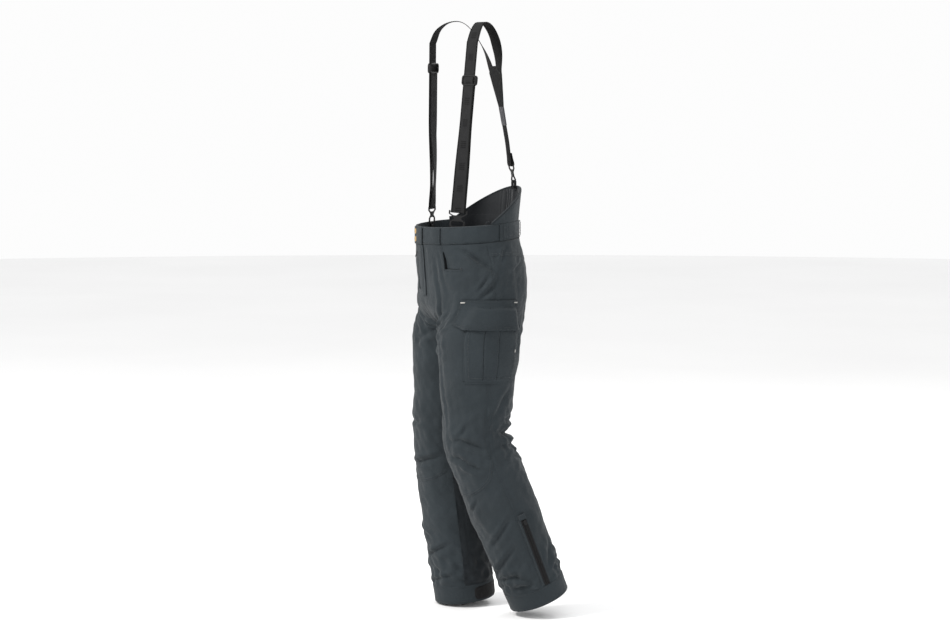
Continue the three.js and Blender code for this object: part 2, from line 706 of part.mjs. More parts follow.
// The strap's direction across its width at a share f of its front run, before mirroring.
function runAcross(strap, f) {
  const [foot, low, high] = strap.turns;
  const turn = rad(f < 0.15 ? lerp(foot, low, smooth(0, 0.15, f)) : lerp(low, high, smooth(0.15, 0.55, f)));
  const flat = v3(Math.cos(turn), Math.sin(turn), 0);
  const along = strap.head.clone().sub(strap.foot).normalize();
  return flat.addScaledVector(along, -flat.dot(along)).normalize();
}

// Stations of a strap's centreline: its place and the direction across its width.
function strapStations(side) {
  const strap = STRAP[side];
  const stations = [];
  const rear = (f) => strap.foot.clone().lerp(strap.head, f);
  const out = (f) => runAcross(strap, f).cross(strap.head.clone().sub(strap.foot).normalize()).normalize();
  for (const f of steps(strap.adjuster - 0.045, 0, 10)) {
    const slack = strap.slack * Math.sin(Math.PI * Math.min(1, f / SLACK_TOP));
    const at = rear(f).addScaledVector(out(f), -WEB.layerGap / 2 - slack);
    stations.push({ at, across: runAcross(strap, f) });
  }
  const down = strap.foot.clone().sub(strap.head).normalize();
  for (const angle of [-45, 0, 45]) {
    const turn = strap.foot.clone();
    turn.addScaledVector(out(0), (Math.sin(rad(angle)) * WEB.layerGap) / 2);
    turn.addScaledVector(down, (Math.cos(rad(angle)) * WEB.layerGap) / 2);
    stations.push({ at: turn, across: runAcross(strap, 0) });
  }
  for (const f of steps(0, 1, 12))
    stations.push({ at: rear(f).addScaledVector(out(f), WEB.layerGap / 2), across: runAcross(strap, f) });
  const last = stations[stations.length - 1];
  const bend = new THREE.CatmullRomCurve3([last.at, ...strap.over, STRAP_END], false, "centripetal");
  for (const f of steps(1 / 16, 1, 15)) {
    const tangent = bend.getTangentAt(f);
    const held = lerp(strap.turns[2], OVER.turn, smooth(0, OVER.from, f));
    const turn = rad(held * (1 - smooth(OVER.to, 1, f)));
    const across = v3(Math.cos(turn), Math.sin(turn), 0);
    across.addScaledVector(tangent, -across.dot(tangent)).normalize();
    stations.push({ at: bend.getPointAt(f), across });
  }
  return stations;
}

// A flat ribbon through stations.
function ribbon(stations, width, thick) {
  const normals = stations.map(({ across }, i) => {
    const before = stations[Math.max(i - 1, 0)].at;
    const after = stations[Math.min(i + 1, stations.length - 1)].at;
    return after.clone().sub(before).cross(across).normalize();
  });
  const n = stations.length - 1;
  const face = (sign) => (u, v) => {
    const i = Math.round(v * n);
    const { at, across } = stations[i];
    return at
      .clone()
      .addScaledVector(across, (u - 0.5) * width)
      .addScaledVector(normals[i], (sign * thick) / 2);
  };
  return sheet(face(1), face(-1), 1, n);
}

// Basis at a place, with Z along `up` and Y out of a face.
function faceFrame(at, out, up) {
  return new THREE.Matrix4().makeBasis(out.clone().cross(up), out, up).setPosition(at);
}

// Basis on a strap's front run, with X across it, Y out of its face and Z up it.
function strapFrame(side, f) {
  const strap = STRAP[side];
  const up = strap.head.clone().sub(strap.foot).normalize();
  const out = runAcross(strap, f).cross(up).normalize();
  const at = strap.foot.clone().lerp(strap.head, f);
  return faceFrame(mirrored(side, at), mirrored(side, out), mirrored(side, up));
}

const ADJUSTER = { wall: 4.2, height: 28, thick: 11, slot: 7.6, clearance: 0.8 };

// The adjuster: a sleeve through which the webbing runs.
function adjuster(frame) {
  const opening = WEB.width + 2 * ADJUSTER.clearance;
  const body = box(opening + 2 * ADJUSTER.wall, ADJUSTER.thick, ADJUSTER.height);
  const slot = box(opening, ADJUSTER.slot, ADJUSTER.height + 2);
  return cut(body, slot).applyMatrix4(frame);
}

// An outline in X and Z with holes, made solid along Y about the middle.
function plate(points, holes, thick) {
  const slab = (outline, depth) =>
    new THREE.ExtrudeGeometry(new THREE.Shape(outline.map(([x, z]) => new THREE.Vector2(x, z))), {
      depth,
      bevelEnabled: false,
    })
      .translate(0, 0, -depth / 2)
      .rotateX(Math.PI / 2);
  return cut(slab(points, thick), ...holes.map((hole) => slab(hole, thick + 2)));
}

// The outline whose right half is given, with its left half the same.
const bothHalves = (half) => [...half, ...half.map(([x, z]) => [-x, z]).reverse()];

// The front hook, with its upper bar at the origin: a slot for the webbing, a neck and a ring for the tab.
function frontHook() {
  const slotHalf = WEB.width / 2 + HOOK.webClearance;
  const outline = bothHalves([
    [slotHalf + HOOK.arm, 3.2],
    [slotHalf + HOOK.arm, -6],
    [12, -14],
    [9, -19],
    [20, -27],
    [21, -38],
    [17, -42],
  ]);
  const slot = bothHalves([
    [slotHalf, -2],
    [slotHalf, -5],
    [12, -9.5],
  ]);
  const ring = bothHalves([
    [13, -25],
    [17, -30],
    [15, 2 - HOOK.ringBar],
  ]);
  const barLength = 2 * slotHalf + 1.7 * HOOK.arm;
  const bar = new THREE.CylinderGeometry(HOOK.barRadius, HOOK.barRadius, barLength, 8).rotateZ(Math.PI / 2);
  const middle = (HOOK.slotTop + HOOK.slotBottom) / 2;
  const open = box(2 * slotHalf, 20, HOOK.slotTop - HOOK.slotBottom, 0, 0, middle);
  return joined(cut(plate(outline, [slot, ring], HOOK.plate), open), bar);
}


// A fabric tab: up from inside the garment, over a bar, and down again.
function tab(basis, { width, drop, halfGap }) {
  const arch = steps(0, Math.PI, 6).map((a) => v3(0, -Math.cos(a) * halfGap, Math.sin(a) * halfGap));
  const line = [v3(0, -halfGap, -drop), ...arch, v3(0, halfGap, -drop)];
  return ribbon(line.map((at) => ({ at, across: v3(1, 0, 0) })), width, TAB.thick).applyMatrix4(basis);
}

function addSuspender(side) {
  const mirror = ({ at, across }) => ({ at: mirrored(side, at), across: mirrored(side, across) });
  const stations = strapStations(side).map(mirror);
  add(nameOf("strap", side), ribbon(stations, WEB.width, WEB.thick), "webbing");
  add(nameOf("adjuster", side), adjuster(strapFrame(side, STRAP[side].adjuster)), "plastic");
  const basis = strapFrame(side, 0);
  add(nameOf("front_hook", side), frontHook().applyMatrix4(basis), "plastic");
  const under = v3(0, 0, -HOOK.ringBar - TAB.underBar).applyMatrix4(basis);
  const out = new THREE.Vector3().setFromMatrixColumn(basis, 1).setZ(0).normalize();
  add(nameOf("hook_tab", side), tab(faceFrame(under, out, v3(0, 0, 1)), TAB), "webbing");
}

const yokeFace = waistPoint(LEFT, YOKE.height, 1, YOKE.inset + YOKE.thick - YOKE.flare);
const BACK = {
  // The bar in the back tab, by the raised back's inner face: the suspenders swing about it.
  tabTop: v3(0, yokeFace.y - BACK_TAB.offYoke, YOKE.height + BACK_TAB.overYoke),
  yokeTop: v3(0, 80, 412),
  elasticWidth: 33,
  elasticThick: 2,
  foldEnd: 78, // the elastic's sewn-back end reaches this far up it
  patchBottom: 154,
  patchTop: 204,
  padThick: 2.4,
};

// Right half of the yoke's outline above the patch: where its side ends, and the middle of its top.
const YOKE_PAD = { wide: 52, side: 296, notch: 15, notchTop: 312.5 };
const backUp = BACK.yokeTop.clone().sub(BACK.tabTop).normalize();
const backBasis = new THREE.Matrix4()
  .makeBasis(v3(1, 0, 0), backUp.clone().cross(v3(1, 0, 0)), backUp)
  .setPosition(BACK.tabTop);

// The back hook, with its lower bar at the origin.
function backHook() {
  const slotHalf = BACK.elasticWidth / 2 + 1;
  const outline = bothHalves([
    [15, -3],
    [17, 6],
    [8, 16],
    [8, 26],
    [slotHalf + 2.5, 36],
    [slotHalf + 2.5, 48],
  ]);
  const ring = bothHalves([
    [11, 1.4],
    [13, 6],
    [6, 13],
  ]);
  const slot = bothHalves([
    [12, 33],
    [slotHalf, 38],
    [slotHalf, 44.6],
  ]);
  return plate(outline, [ring, slot], HOOK.plate);
}

// The hook's upper bar, and how far from its middle the elastic goes round it.
const BACK_BAR = { z: 46.3, turn: 3.9 };

// The elastic's centreline: from its sewn-back end, down and round the hook's upper bar, and up
// to the yoke's patch.
function elasticLine(top) {
  const line = [v3(0, 2.3, BACK.foldEnd), v3(0, BACK_BAR.turn, BACK_BAR.z + 6)];
  for (const a of steps(0, Math.PI, 6))
    line.push(v3(0, Math.cos(a) * BACK_BAR.turn, BACK_BAR.z - Math.sin(a) * BACK_BAR.turn));
  line.push(v3(0, -BACK_BAR.turn, BACK_BAR.z + 6), v3(0, -1.6, BACK.foldEnd), v3(0, 0, 110), v3(0, 0, top));
  return line.map((at) => ({ at, across: v3(1, 0, 0) }));
}

function addBackStraps() {
  const onBack = (geometry) => geometry.applyMatrix4(backBasis);
  const half = BACK.elasticWidth / 2;
  const patch = bothHalves([
    [half + 1, BACK.patchBottom],
    [half + 3, BACK.patchTop - GAP],
  ]);
  const yoke = bothHalves([
    [half + 3, BACK.patchTop],
    [YOKE_PAD.wide, YOKE_PAD.side],
    [YOKE_PAD.notch, YOKE_PAD.notchTop],
  ]);
  const elastic = ribbon(elasticLine(BACK.patchBottom - GAP), BACK.elasticWidth, BACK.elasticThick);
  add("back_hook", onBack(backHook()), "plastic");
  add("back_tab", tab(faceFrame(BACK.tabTop, v3(0, 1, 0), v3(0, 0, 1)), BACK_TAB), "webbing");
  add("back_elastic", onBack(elastic), "elastic");
  add("yoke_patch", onBack(plate(patch, [], BACK.padThick)), "webbing");
  add("suspender_yoke", onBack(plate(yoke, [], BACK.padThick)), "elastic");
}

// ---------------------------------------------------------------- assembly

addWaistband();
addBackYoke();
addFly();
for (const side of [LEFT, RIGHT]) {
  addHips(side);
  addPocketBag(side);
  addLeg(side);
  addSuspender(side);
}
addBackStraps();

export default group;
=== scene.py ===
"""Insulated ski pants with a raised back and Y-back suspenders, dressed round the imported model.

Metres. +Z is up, -Y is the wearer's front and +X the wearer's left. A place on the garment is a
height on the straight pattern and `around`: 0 is the front middle or inseam, .25 the front of
the leg, .5 its outer side, .75 its back, and 1 the back middle or inseam again.
"""
import math

import bpy
import numpy as np
from mathutils import Matrix, Vector


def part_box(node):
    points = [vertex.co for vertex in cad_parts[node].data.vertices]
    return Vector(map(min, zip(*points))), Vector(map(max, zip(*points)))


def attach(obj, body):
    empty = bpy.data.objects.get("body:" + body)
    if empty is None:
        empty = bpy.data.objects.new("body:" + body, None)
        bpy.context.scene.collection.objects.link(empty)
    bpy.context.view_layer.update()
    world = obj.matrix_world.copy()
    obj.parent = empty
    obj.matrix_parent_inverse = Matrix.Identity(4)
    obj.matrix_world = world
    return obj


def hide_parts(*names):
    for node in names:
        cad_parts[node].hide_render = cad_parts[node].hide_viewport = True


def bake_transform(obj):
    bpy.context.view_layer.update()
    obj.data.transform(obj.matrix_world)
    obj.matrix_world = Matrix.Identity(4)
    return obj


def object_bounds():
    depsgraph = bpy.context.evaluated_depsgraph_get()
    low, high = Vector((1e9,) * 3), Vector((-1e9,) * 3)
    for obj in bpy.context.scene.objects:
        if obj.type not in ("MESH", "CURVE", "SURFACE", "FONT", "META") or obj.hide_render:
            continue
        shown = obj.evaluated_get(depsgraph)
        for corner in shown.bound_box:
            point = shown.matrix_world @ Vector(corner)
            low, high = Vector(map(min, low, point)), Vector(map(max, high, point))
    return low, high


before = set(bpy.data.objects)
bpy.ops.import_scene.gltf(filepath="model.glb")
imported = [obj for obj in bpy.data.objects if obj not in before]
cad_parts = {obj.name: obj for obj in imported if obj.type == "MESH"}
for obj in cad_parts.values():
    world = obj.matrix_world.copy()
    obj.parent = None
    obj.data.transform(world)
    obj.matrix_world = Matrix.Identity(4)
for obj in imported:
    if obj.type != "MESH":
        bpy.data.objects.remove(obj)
CAD_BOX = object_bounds()

# ---------------------------------------------------------------- driving sizes

SIDES = {"left": 1, "right": -1}
SHELL = .003  # outer fabric, padding and lining
BAND = .047  # height of the waistband
TILT = .066  # the rim falls this much per metre towards the front
WAIST = {"half_width": .166, "half_depth": .136, "centre_y": .002}
WAIST_GIRTH = .475  # half of the way round the waist
HIP_GIRTH = .560
THIGH_GIRTH = .60  # about the way round the thigh at its pocket
HIP = {"half_width": .197, "half_depth": .142, "centre_y": .017, "z": -.181}
CROTCH = -.290
HEM = -1.050
CUFF = .050
# The straight leg: height, centre across and along, half width and half depth.
LEG = np.array([
    (-.290, .1015, .004, .1005, .114),
    (-.400, .102, .003, .097, .105),
    (-.480, .103, .001, .091, .094),
    (-.575, .104, .000, .085, .086),
    (-.680, .106, .000, .089, .093),
    (-.820, .108, .000, .088, .091),
    (-1.050, .110, .000, .080, .081),
])
HIP_HINGE = (0, -.185)  # y and z
KNEE_HINGE = (0, -.575)
KNEE_ZONE = .098  # the knee bends over this much fabric above and below its hinge
CREASE = {"lean": math.radians(55), "start": .166, "end": .282}
STANCE = {"left": (1, 23), "right": (4, 11)}  # turn of hip and knee, in degrees
THIGH_END = KNEE_HINGE[1] + KNEE_ZONE
SHIN_START = KNEE_HINGE[1] - KNEE_ZONE
CUFF_TOP = HEM + CUFF


# ---------------------------------------------------------------- camera, light and floor

FLOOR_RADIUS = 15
FLOOR_GAP = .004  # below the lower hem
CAMERA = {
    "azimuth": math.radians(72), "distance": 7, "rise": .62,
    "lens": 98.6, "aim_across": .023, "aim_z": -.255,
}


def add_camera():
    """The camera stands off the wearer's left front, a little higher than the waist."""
    across = Vector((math.cos(CAMERA["azimuth"]), math.sin(CAMERA["azimuth"]), 0))
    away = Vector((across.y, -across.x, 0))
    aim = across * CAMERA["aim_across"] + Vector((0, 0, CAMERA["aim_z"]))
    place = aim + away * CAMERA["distance"] + Vector((0, 0, CAMERA["rise"]))
    camera = bpy.data.objects.new("camera", bpy.data.cameras.new("camera"))
    bpy.context.scene.collection.objects.link(camera)
    camera.data.lens = CAMERA["lens"]
    camera.location = place
    camera.rotation_euler = (aim - place).to_track_quat("-Z", "Y").to_euler()
    bpy.context.scene.camera = camera


def add_area_light(name, place, size, power, colour):
    """A soft lamp aimed at the middle of the trousers."""
    light = bpy.data.lights.new(name, "AREA")
    light.energy, light.size, light.color = power, size, colour
    lamp = bpy.data.objects.new(name, light)
    bpy.context.scene.collection.objects.link(lamp)
    lamp.location = place
    lamp.rotation_euler = (Vector((0, 0, -.3)) - Vector(place)).to_track_quat("-Z", "Y").to_euler()


def add_studio():
    """White surroundings, three soft lamps and a pale round floor just below the hems."""
    world = bpy.data.worlds.new("studio")
    world.use_nodes = True
    world.node_tree.nodes["Background"].inputs["Color"].default_value = (1, 1, 1, 1)
    world.node_tree.nodes["Background"].inputs["Strength"].default_value = .98
    bpy.context.scene.world = world
    bpy.context.scene.view_settings.view_transform = "Standard"
    add_area_light("key", (.6, -3.6, 2.9), 1.0, 200, (1, .99, .97))
    add_area_light("fill", (3.8, -.6, .9), 2.2, 30, (.96, .98, 1))
    add_area_light("rim", (-2.2, 2.6, 2.4), 1.6, 60, (1, 1, 1))

    turn = np.linspace(0, 2 * np.pi, 96, endpoint=False)
    ring = [(FLOOR_RADIUS * math.cos(a), FLOOR_RADIUS * math.sin(a), CAD_BOX[0].z - FLOOR_GAP) for a in turn]
    mesh = bpy.data.meshes.new("floor")
    mesh.from_pydata(ring, [], [list(range(len(ring)))])
    floor = bpy.data.objects.new("floor", mesh)
    bpy.context.scene.collection.objects.link(floor)
    mesh.materials.append(plain("floor_paint", (.90, .90, .90), .9))


# ---------------------------------------------------------------- materials

class Shader:
    """Builds a Principled material, a node at a time."""

    def __init__(self, name):
        self.material = bpy.data.materials.new(name)
        self.material.use_nodes = True
        self.tree = self.material.node_tree
        self.surface = self.tree.nodes["Principled BSDF"]

    def node(self, kind, **settings):
        """A new node, with values for its inputs or its own settings."""
        made = self.tree.nodes.new("ShaderNode" + kind)
        for key, value in settings.items():
            if key in made.inputs:
                made.inputs[key].default_value = value
            else:
                setattr(made, key, value)
        return made

    def link(self, output, socket):
        self.tree.links.new(output, socket)

    def math(self, operation, first, second=0.0, third=None):
        made = self.node("Math", operation=operation)
        for socket, value in zip(made.inputs, (first, second, third)):
            if isinstance(value, (int, float)):
                socket.default_value = value
            elif value is not None:
                self.link(value, socket)
        return made.outputs[0]

    def remap(self, value, low, high, to_low, to_high):
        limits = {"From Min": low, "From Max": high, "To Min": to_low, "To Max": to_high}
        made = self.node("MapRange", **limits)
        self.link(value, made.inputs["Value"])
        return made.outputs["Result"]

    def noise(self, where, scale, detail=3.0):
        made = self.node("TexNoise", Scale=scale, Detail=detail)
        self.link(where, made.inputs["Vector"])
        return made.outputs["Fac"]

    def uneven_roughness(self, where, scale, low, high, detail=3):
        rough = self.remap(self.noise(where, scale, detail), .3, .7, low, high)
        self.link(rough, self.surface.inputs["Roughness"])

    def bands(self, where, period, direction):
        made = self.node("TexWave", bands_direction=direction, Scale=math.pi / 10 / period)
        self.link(where, made.inputs["Vector"])
        return made.outputs["Fac"]

    def tint(self, colour, factor):
        """The colour made lighter or darker by a factor about 1."""
        made = self.node("VectorMath", operation="SCALE")
        made.inputs[0].default_value = colour
        self.link(factor, made.inputs["Scale"])
        return made.outputs[0]

    def bump(self, height, depth, strength=1.0, under=None):
        made = self.node("Bump", Strength=strength, Distance=depth)
        self.link(height, made.inputs["Height"])
        if under is not None:
            self.link(under, made.inputs["Normal"])
        return made.outputs["Normal"]


def plain(name, colour, roughness):
    """Painted backdrop: barely mottled."""
    s = Shader(name)
    where = s.node("TexCoord").outputs["Object"]
    s.link(s.tint(colour, s.remap(s.noise(where, .7), .3, .7, .985, 1.015)), s.surface.inputs["Base Color"])
    s.surface.inputs["Roughness"].default_value = roughness
    return s.material


def fabric(name, colour, weave, depth, mottle=.1, sheen=.08, roughness=.86, rib=None, creased=0):
    """Woven cloth: threads at the given period, a melange, faint handling marks and a soft crinkle."""
    s = Shader(name)
    cloth = s.node("Attribute", attribute_name="cloth").outputs["Vector"]
    place = s.node("TexCoord").outputs["Object"]
    broad = s.remap(s.noise(place, 9, 4), .3, .7, 1 - mottle, 1 + mottle)
    melange = s.remap(s.noise(cloth, 1400, 2), .25, .75, 1 - mottle, 1 + mottle)
    rubbed = s.remap(s.noise(cloth, 60, 6), .62, .8, 1, 1 + 2 * mottle)
    threads = s.math("MULTIPLY", s.bands(cloth, weave, "X"), s.bands(cloth, weave, "Y"))
    if rib is not None:
        threads = s.math("ADD", threads, s.math("MULTIPLY", s.bands(cloth, rib, "Y"), 2.5))
    shade = s.math("MULTIPLY", s.math("MULTIPLY", broad, melange), rubbed)
    shade = s.math("MULTIPLY", shade, s.remap(threads, 0, 1, .93, 1.05))
    s.link(s.tint(colour, shade), s.surface.inputs["Base Color"])
    s.uneven_roughness(place, 24, roughness - .06, roughness + .06)
    soft = s.bump(s.noise(cloth, 210, 4), .00025)
    if creased:
        ridge = s.math("ABSOLUTE", s.math("SUBTRACT", s.noise(place, 21, 3.5), .5))
        soft = s.bump(s.math("POWER", ridge, .6), creased, 1, soft)
    s.link(s.bump(threads, depth, .8, soft), s.surface.inputs["Normal"])
    s.surface.inputs["Sheen Weight"].default_value = sheen
    s.surface.inputs["Sheen Roughness"].default_value = .45
    s.surface.inputs["Specular IOR Level"].default_value = .16
    return s.material


def webbing(name, colour, edge, marks):
    """Strap webbing: a twill, black selvedges and, on the face, groups of short woven bars."""
    s = Shader(name)
    cloth = s.node("Attribute", attribute_name="cloth").outputs["Vector"]
    parts = s.node("SeparateXYZ")
    s.link(cloth, parts.inputs[0])
    x, y = parts.outputs["X"], parts.outputs["Y"]
    off_middle = s.math("ABSOLUTE", x)
    face = s.math("LESS_THAN", off_middle, .0155)
    twill = s.node("VectorMath", operation="ADD")
    s.link(cloth, twill.inputs[0])
    lean = s.node("CombineXYZ")
    s.link(s.math("MULTIPLY", y, .55), lean.inputs["X"])
    s.link(lean.outputs[0], twill.inputs[1])
    threads = s.math("MULTIPLY", s.bands(twill.outputs[0], .0022, "X"), s.bands(cloth, .0016, "Y"))
    shade = s.remap(threads, 0, 1, .78, 1.12)
    if marks:
        pitch, bars = .058, .0052
        along = s.math("PINGPONG", y, pitch / 2)
        group = s.math("LESS_THAN", along, pitch * .17)
        bar = s.math("LESS_THAN", s.math("PINGPONG", y, bars / 2), bars * .3)
        middle = s.math("LESS_THAN", off_middle, .0085)
        mark = s.math("MULTIPLY", s.math("MULTIPLY", group, bar), middle)
        shade = s.math("MULTIPLY", shade, s.remap(mark, 0, 1, 1, .42))
    shade = s.math("MULTIPLY", shade, s.remap(s.noise(cloth, 70, 4), .3, .7, .9, 1.1))
    mix = s.node("Mix", data_type="RGBA")
    s.link(face, mix.inputs["Factor"])
    mix.inputs[6].default_value = (*edge, 1)
    s.link(s.tint(colour, shade), mix.inputs[7])
    s.link(mix.outputs[2], s.surface.inputs["Base Color"])
    s.link(s.remap(threads, 0, 1, .9, .72), s.surface.inputs["Roughness"])
    s.link(s.bump(threads, .0004, .9), s.surface.inputs["Normal"])
    s.surface.inputs["Sheen Weight"].default_value = .02
    s.surface.inputs["Specular IOR Level"].default_value = .12
    return s.material


def moulded(name, colour, roughness, grain=.00006):
    """Moulded plastic: a fine spark-eroded grain, scuffed lighter in places."""
    s = Shader(name)
    place = s.node("TexCoord").outputs["Object"]
    scuff = s.remap(s.noise(place, 160, 6), .58, .75, 1, 2.0)
    s.link(s.tint(colour, scuff), s.surface.inputs["Base Color"])
    s.uneven_roughness(place, 90, roughness - .08, roughness + .12, 4)
    s.link(s.bump(s.noise(place, 1600, 2), grain), s.surface.inputs["Normal"])
    s.surface.inputs["Specular IOR Level"].default_value = .22
    return s.material


def metal(name, colour, roughness):
    """Brushed metal, a little tarnished."""
    s = Shader(name)
    place = s.node("TexCoord").outputs["Object"]
    s.link(s.tint(colour, s.remap(s.noise(place, 220, 5), .3, .75, .78, 1.1)), s.surface.inputs["Base Color"])
    s.uneven_roughness(place, 500, roughness - .08, roughness + .12)
    s.link(s.bump(s.noise(place, 1100, 2), .00003), s.surface.inputs["Normal"])
    s.surface.inputs["Metallic"].default_value = 1
    return s.material


SLATE = (.0225, .0285, .0325)
MATERIALS = {
    "shell": fabric("shell_softshell", SLATE, .0009, .0002, creased=.0022),
    "shell_edge": fabric("shell_binding", (.0135, .017, .0195), .0009, .0002),
    "guard": fabric("guard_cordura", (.0140, .0170, .0195), .0015, .0004, mottle=.12, sheen=.1),
    "lining": fabric("lining_taffeta", (.0095, .0110, .0130), .0007, .0001, mottle=.14, sheen=.3, roughness=.7),
    "gaiter": fabric("gaiter_ripstop", (.016, .018, .021), .005, .0002, roughness=.6),
    "elastic": fabric("elastic_ribbed", (.0022, .0022, .0024), .0011, .0002, rib=.0014, sheen=.01),
    "tape": fabric("zip_tape", (.0085, .0083, .0088), .0009, .0003, sheen=.05),
    "rubber": moulded("hem_patch_coating", (.0038, .0036, .0038), .7, .0002),
    "patch": fabric("patch_webbing", (.024, .0235, .029), .0014, .0004, sheen=.2),
    "webbing": webbing("webbing_face", (.0175, .0175, .0180), (.0030, .0030, .0030), True),
    # Near black: the real colour of the yoke pad and the tabs, and on the straps' inner faces partly a painted
    # shade.
    "webbing_black_and_shade": webbing("webbing_black_and_painted_shade", (.0024, .0024, .0025), (.0020, .0020, .0020), False),
    "plastic": moulded("plastic_black", (.0060, .0060, .0063), .5),
    "coil": moulded("zip_coil", (.0075, .0075, .0078), .4),
    "brass": metal("brass_snap", (.62, .41, .17), .34),
    "steel": metal("snap_stud_steel", (.45, .44, .42), .35),
    "thread": fabric("thread", (.015, .019, .022), .0006, .0001, sheen=.4),
    "thread_black": fabric("thread_black", (.006, .006, .007), .0006, .0001, sheen=.3),
    "thread_pale": fabric("thread_pale", (.36, .35, .33), .0006, .0001, sheen=.4),
}


# ---------------------------------------------------------------- numbers and curves

def lerp(a, b, t):
    return a + (b - a) * t


def smoothstep(a, b, x):
    t = np.clip((x - a) / (b - a), 0, 1)
    return t * t * (3 - 2 * t)


def unit(v):
    return v / np.maximum(np.linalg.norm(v, axis=-1, keepdims=True), 1e-12)


def curve_through(points, spacing):
    """Points at an even spacing along a smooth curve through the given ones."""
    p = np.asarray(points, float)
    p = np.vstack([2 * p[0] - p[1], p, 2 * p[-1] - p[-2]])
    t = np.linspace(0, 1, 20, endpoint=False)[:, None]
    fine = []
    for a, b, c, d in zip(p[:-3], p[1:-2], p[2:-1], p[3:]):
        bent = (2 * a - 5 * b + 4 * c - d) * t**2 + (3 * b - a - 3 * c + d) * t**3
        fine.append((2 * b + (c - a) * t + bent) / 2)
    fine = np.vstack([*fine, p[-2:-1]])
    run = np.concatenate([[0], np.cumsum(np.linalg.norm(np.diff(fine, axis=0), axis=1))])
    at = np.linspace(0, run[-1], max(2, round(run[-1] / spacing) + 1))
    return np.stack([np.interp(at, run, fine[:, k]) for k in range(p.shape[1])], -1)


def lengths(line):
    """Distance along a line of points, at each of them."""
    return np.concatenate([[0], np.cumsum(np.linalg.norm(np.diff(line, axis=0), axis=1))])


def spaced(breaks, step):
    """Places from the first break to the last, through them all and at most a step apart."""
    places = [breaks[:1]]
    for a, b in zip(breaks[:-1], breaks[1:]):
        places.append(np.linspace(a, b, max(1, math.ceil(abs(b - a) / step - 1e-9)) + 1)[1:])
    return np.concatenate(places)


# ---------------------------------------------------------------- the garment's surface

def softened_leg():
    """The leg's sizes every millimetre of height, with the changes of taper rounded off."""
    heights = np.arange(-1.070, -.200, .001)
    reach = 60
    kernel = np.exp(-.5 * (np.arange(-reach, reach + 1) / 22) ** 2)
    kernel /= kernel.sum()
    columns = []
    for k in range(1, LEG.shape[1]):
        values = np.interp(heights, LEG[::-1, 0], LEG[::-1, k])
        columns.append(np.convolve(np.pad(values, reach, mode="edge"), kernel, mode="valid"))
    return heights, columns


LEG_HEIGHTS, LEG_COLUMNS = softened_leg()


def leg_section(z):
    """Centre across and along, half width and half depth of the straight leg."""
    return [np.interp(z, LEG_HEIGHTS, column) for column in LEG_COLUMNS]


def girth(z):
    """Length once round the half pattern, from around 0 to 1."""
    _, _, half_width, half_depth = leg_section(np.minimum(z, CROTCH))
    leg = 2 * np.pi * np.sqrt((half_width**2 + half_depth**2) / 2)
    trunk = lerp(WAIST_GIRTH, HIP_GIRTH, smoothstep(-BAND, HIP["z"], z))
    return lerp(trunk, leg, smoothstep(HIP["z"], CROTCH, z))


def trunk_arc(z, around, inset=0.0):
    """Half of the trunk's outline: around 0 is the front middle, .5 the side and 1 the back middle."""
    f = np.clip((-BAND - z) / (-BAND - HIP["z"]), 0, 1)
    swell = np.sin(f * np.pi / 2)
    half_width = lerp(WAIST["half_width"], HIP["half_width"], swell) - inset
    front = lerp(WAIST["centre_y"] - WAIST["half_depth"], HIP["centre_y"] - HIP["half_depth"], f) + inset
    back = lerp(WAIST["centre_y"] + WAIST["half_depth"], HIP["centre_y"] + HIP["half_depth"], swell) - inset
    x = half_width * np.sin(np.pi * around)
    return x, (front + back) / 2 - (back - front) / 2 * np.cos(np.pi * around)


def pattern_point(z, around):
    """A point of the left half with the leg straight. Height is measured at the side of the body."""
    centre_x, centre_y, half_width, half_depth = leg_section(np.minimum(z, CROTCH))
    loop_x = centre_x - half_width * np.cos(2 * np.pi * around)
    loop_y = centre_y - half_depth * np.sin(2 * np.pi * around)
    fold = np.clip((HIP["z"] - z) / (HIP["z"] - CROTCH), 0, 1)
    share = 1 - np.cos(fold * np.pi / 2)
    arc_x, arc_y = trunk_arc(z, around)
    edge = np.abs(np.cos(np.pi * around)) ** 3
    rise = np.where(fold > 0, lerp(HIP["z"], CROTCH, np.sin(fold * np.pi / 2)), z)
    x, y = lerp(arc_x, loop_x, share), lerp(arc_y, loop_y, share)
    tilt = np.where(z > HIP["z"], TILT * y * smoothstep(HIP["z"], -BAND, z), 0)
    return np.stack([x, y, np.where(z <= CROTCH, z, lerp(z, rise, edge) + tilt)], -1)


def straight(z, around):
    """The pattern with its changes of shape rounded off up and down the cloth, away from the seams."""
    spread = .014 * np.sqrt(np.clip(np.sin(np.pi * around), 0, 1))
    weights = {-2: .06, -1: .24, 0: .4, 1: .24, 2: .06}
    return sum(share * pattern_point(z + step * spread, around) for step, share in weights.items())


def turned(p, hinge, angle):
    """Points turned about a hinge that runs across the body."""
    y, z = p[..., 1] - hinge[0], p[..., 2] - hinge[1]
    c, s = np.cos(angle), np.sin(angle)
    return np.stack([p[..., 0], hinge[0] + y * c - z * s, hinge[1] + y * s + z * c], -1)


def stand(side, p):
    """Puts points of the straight left half into this stance, on either side."""
    hip, knee = (math.radians(a) for a in STANCE[side])
    q = turned(p, KNEE_HINGE, knee * smoothstep(-THIGH_END, -SHIN_START, -p[..., 2]))
    along = np.abs(q[..., 0]) * math.sin(CREASE["lean"]) - q[..., 2] * math.cos(CREASE["lean"])
    q = turned(q, HIP_HINGE, -hip * smoothstep(CREASE["start"], CREASE["end"], along))
    q[..., 0] *= SIDES[side]
    return q


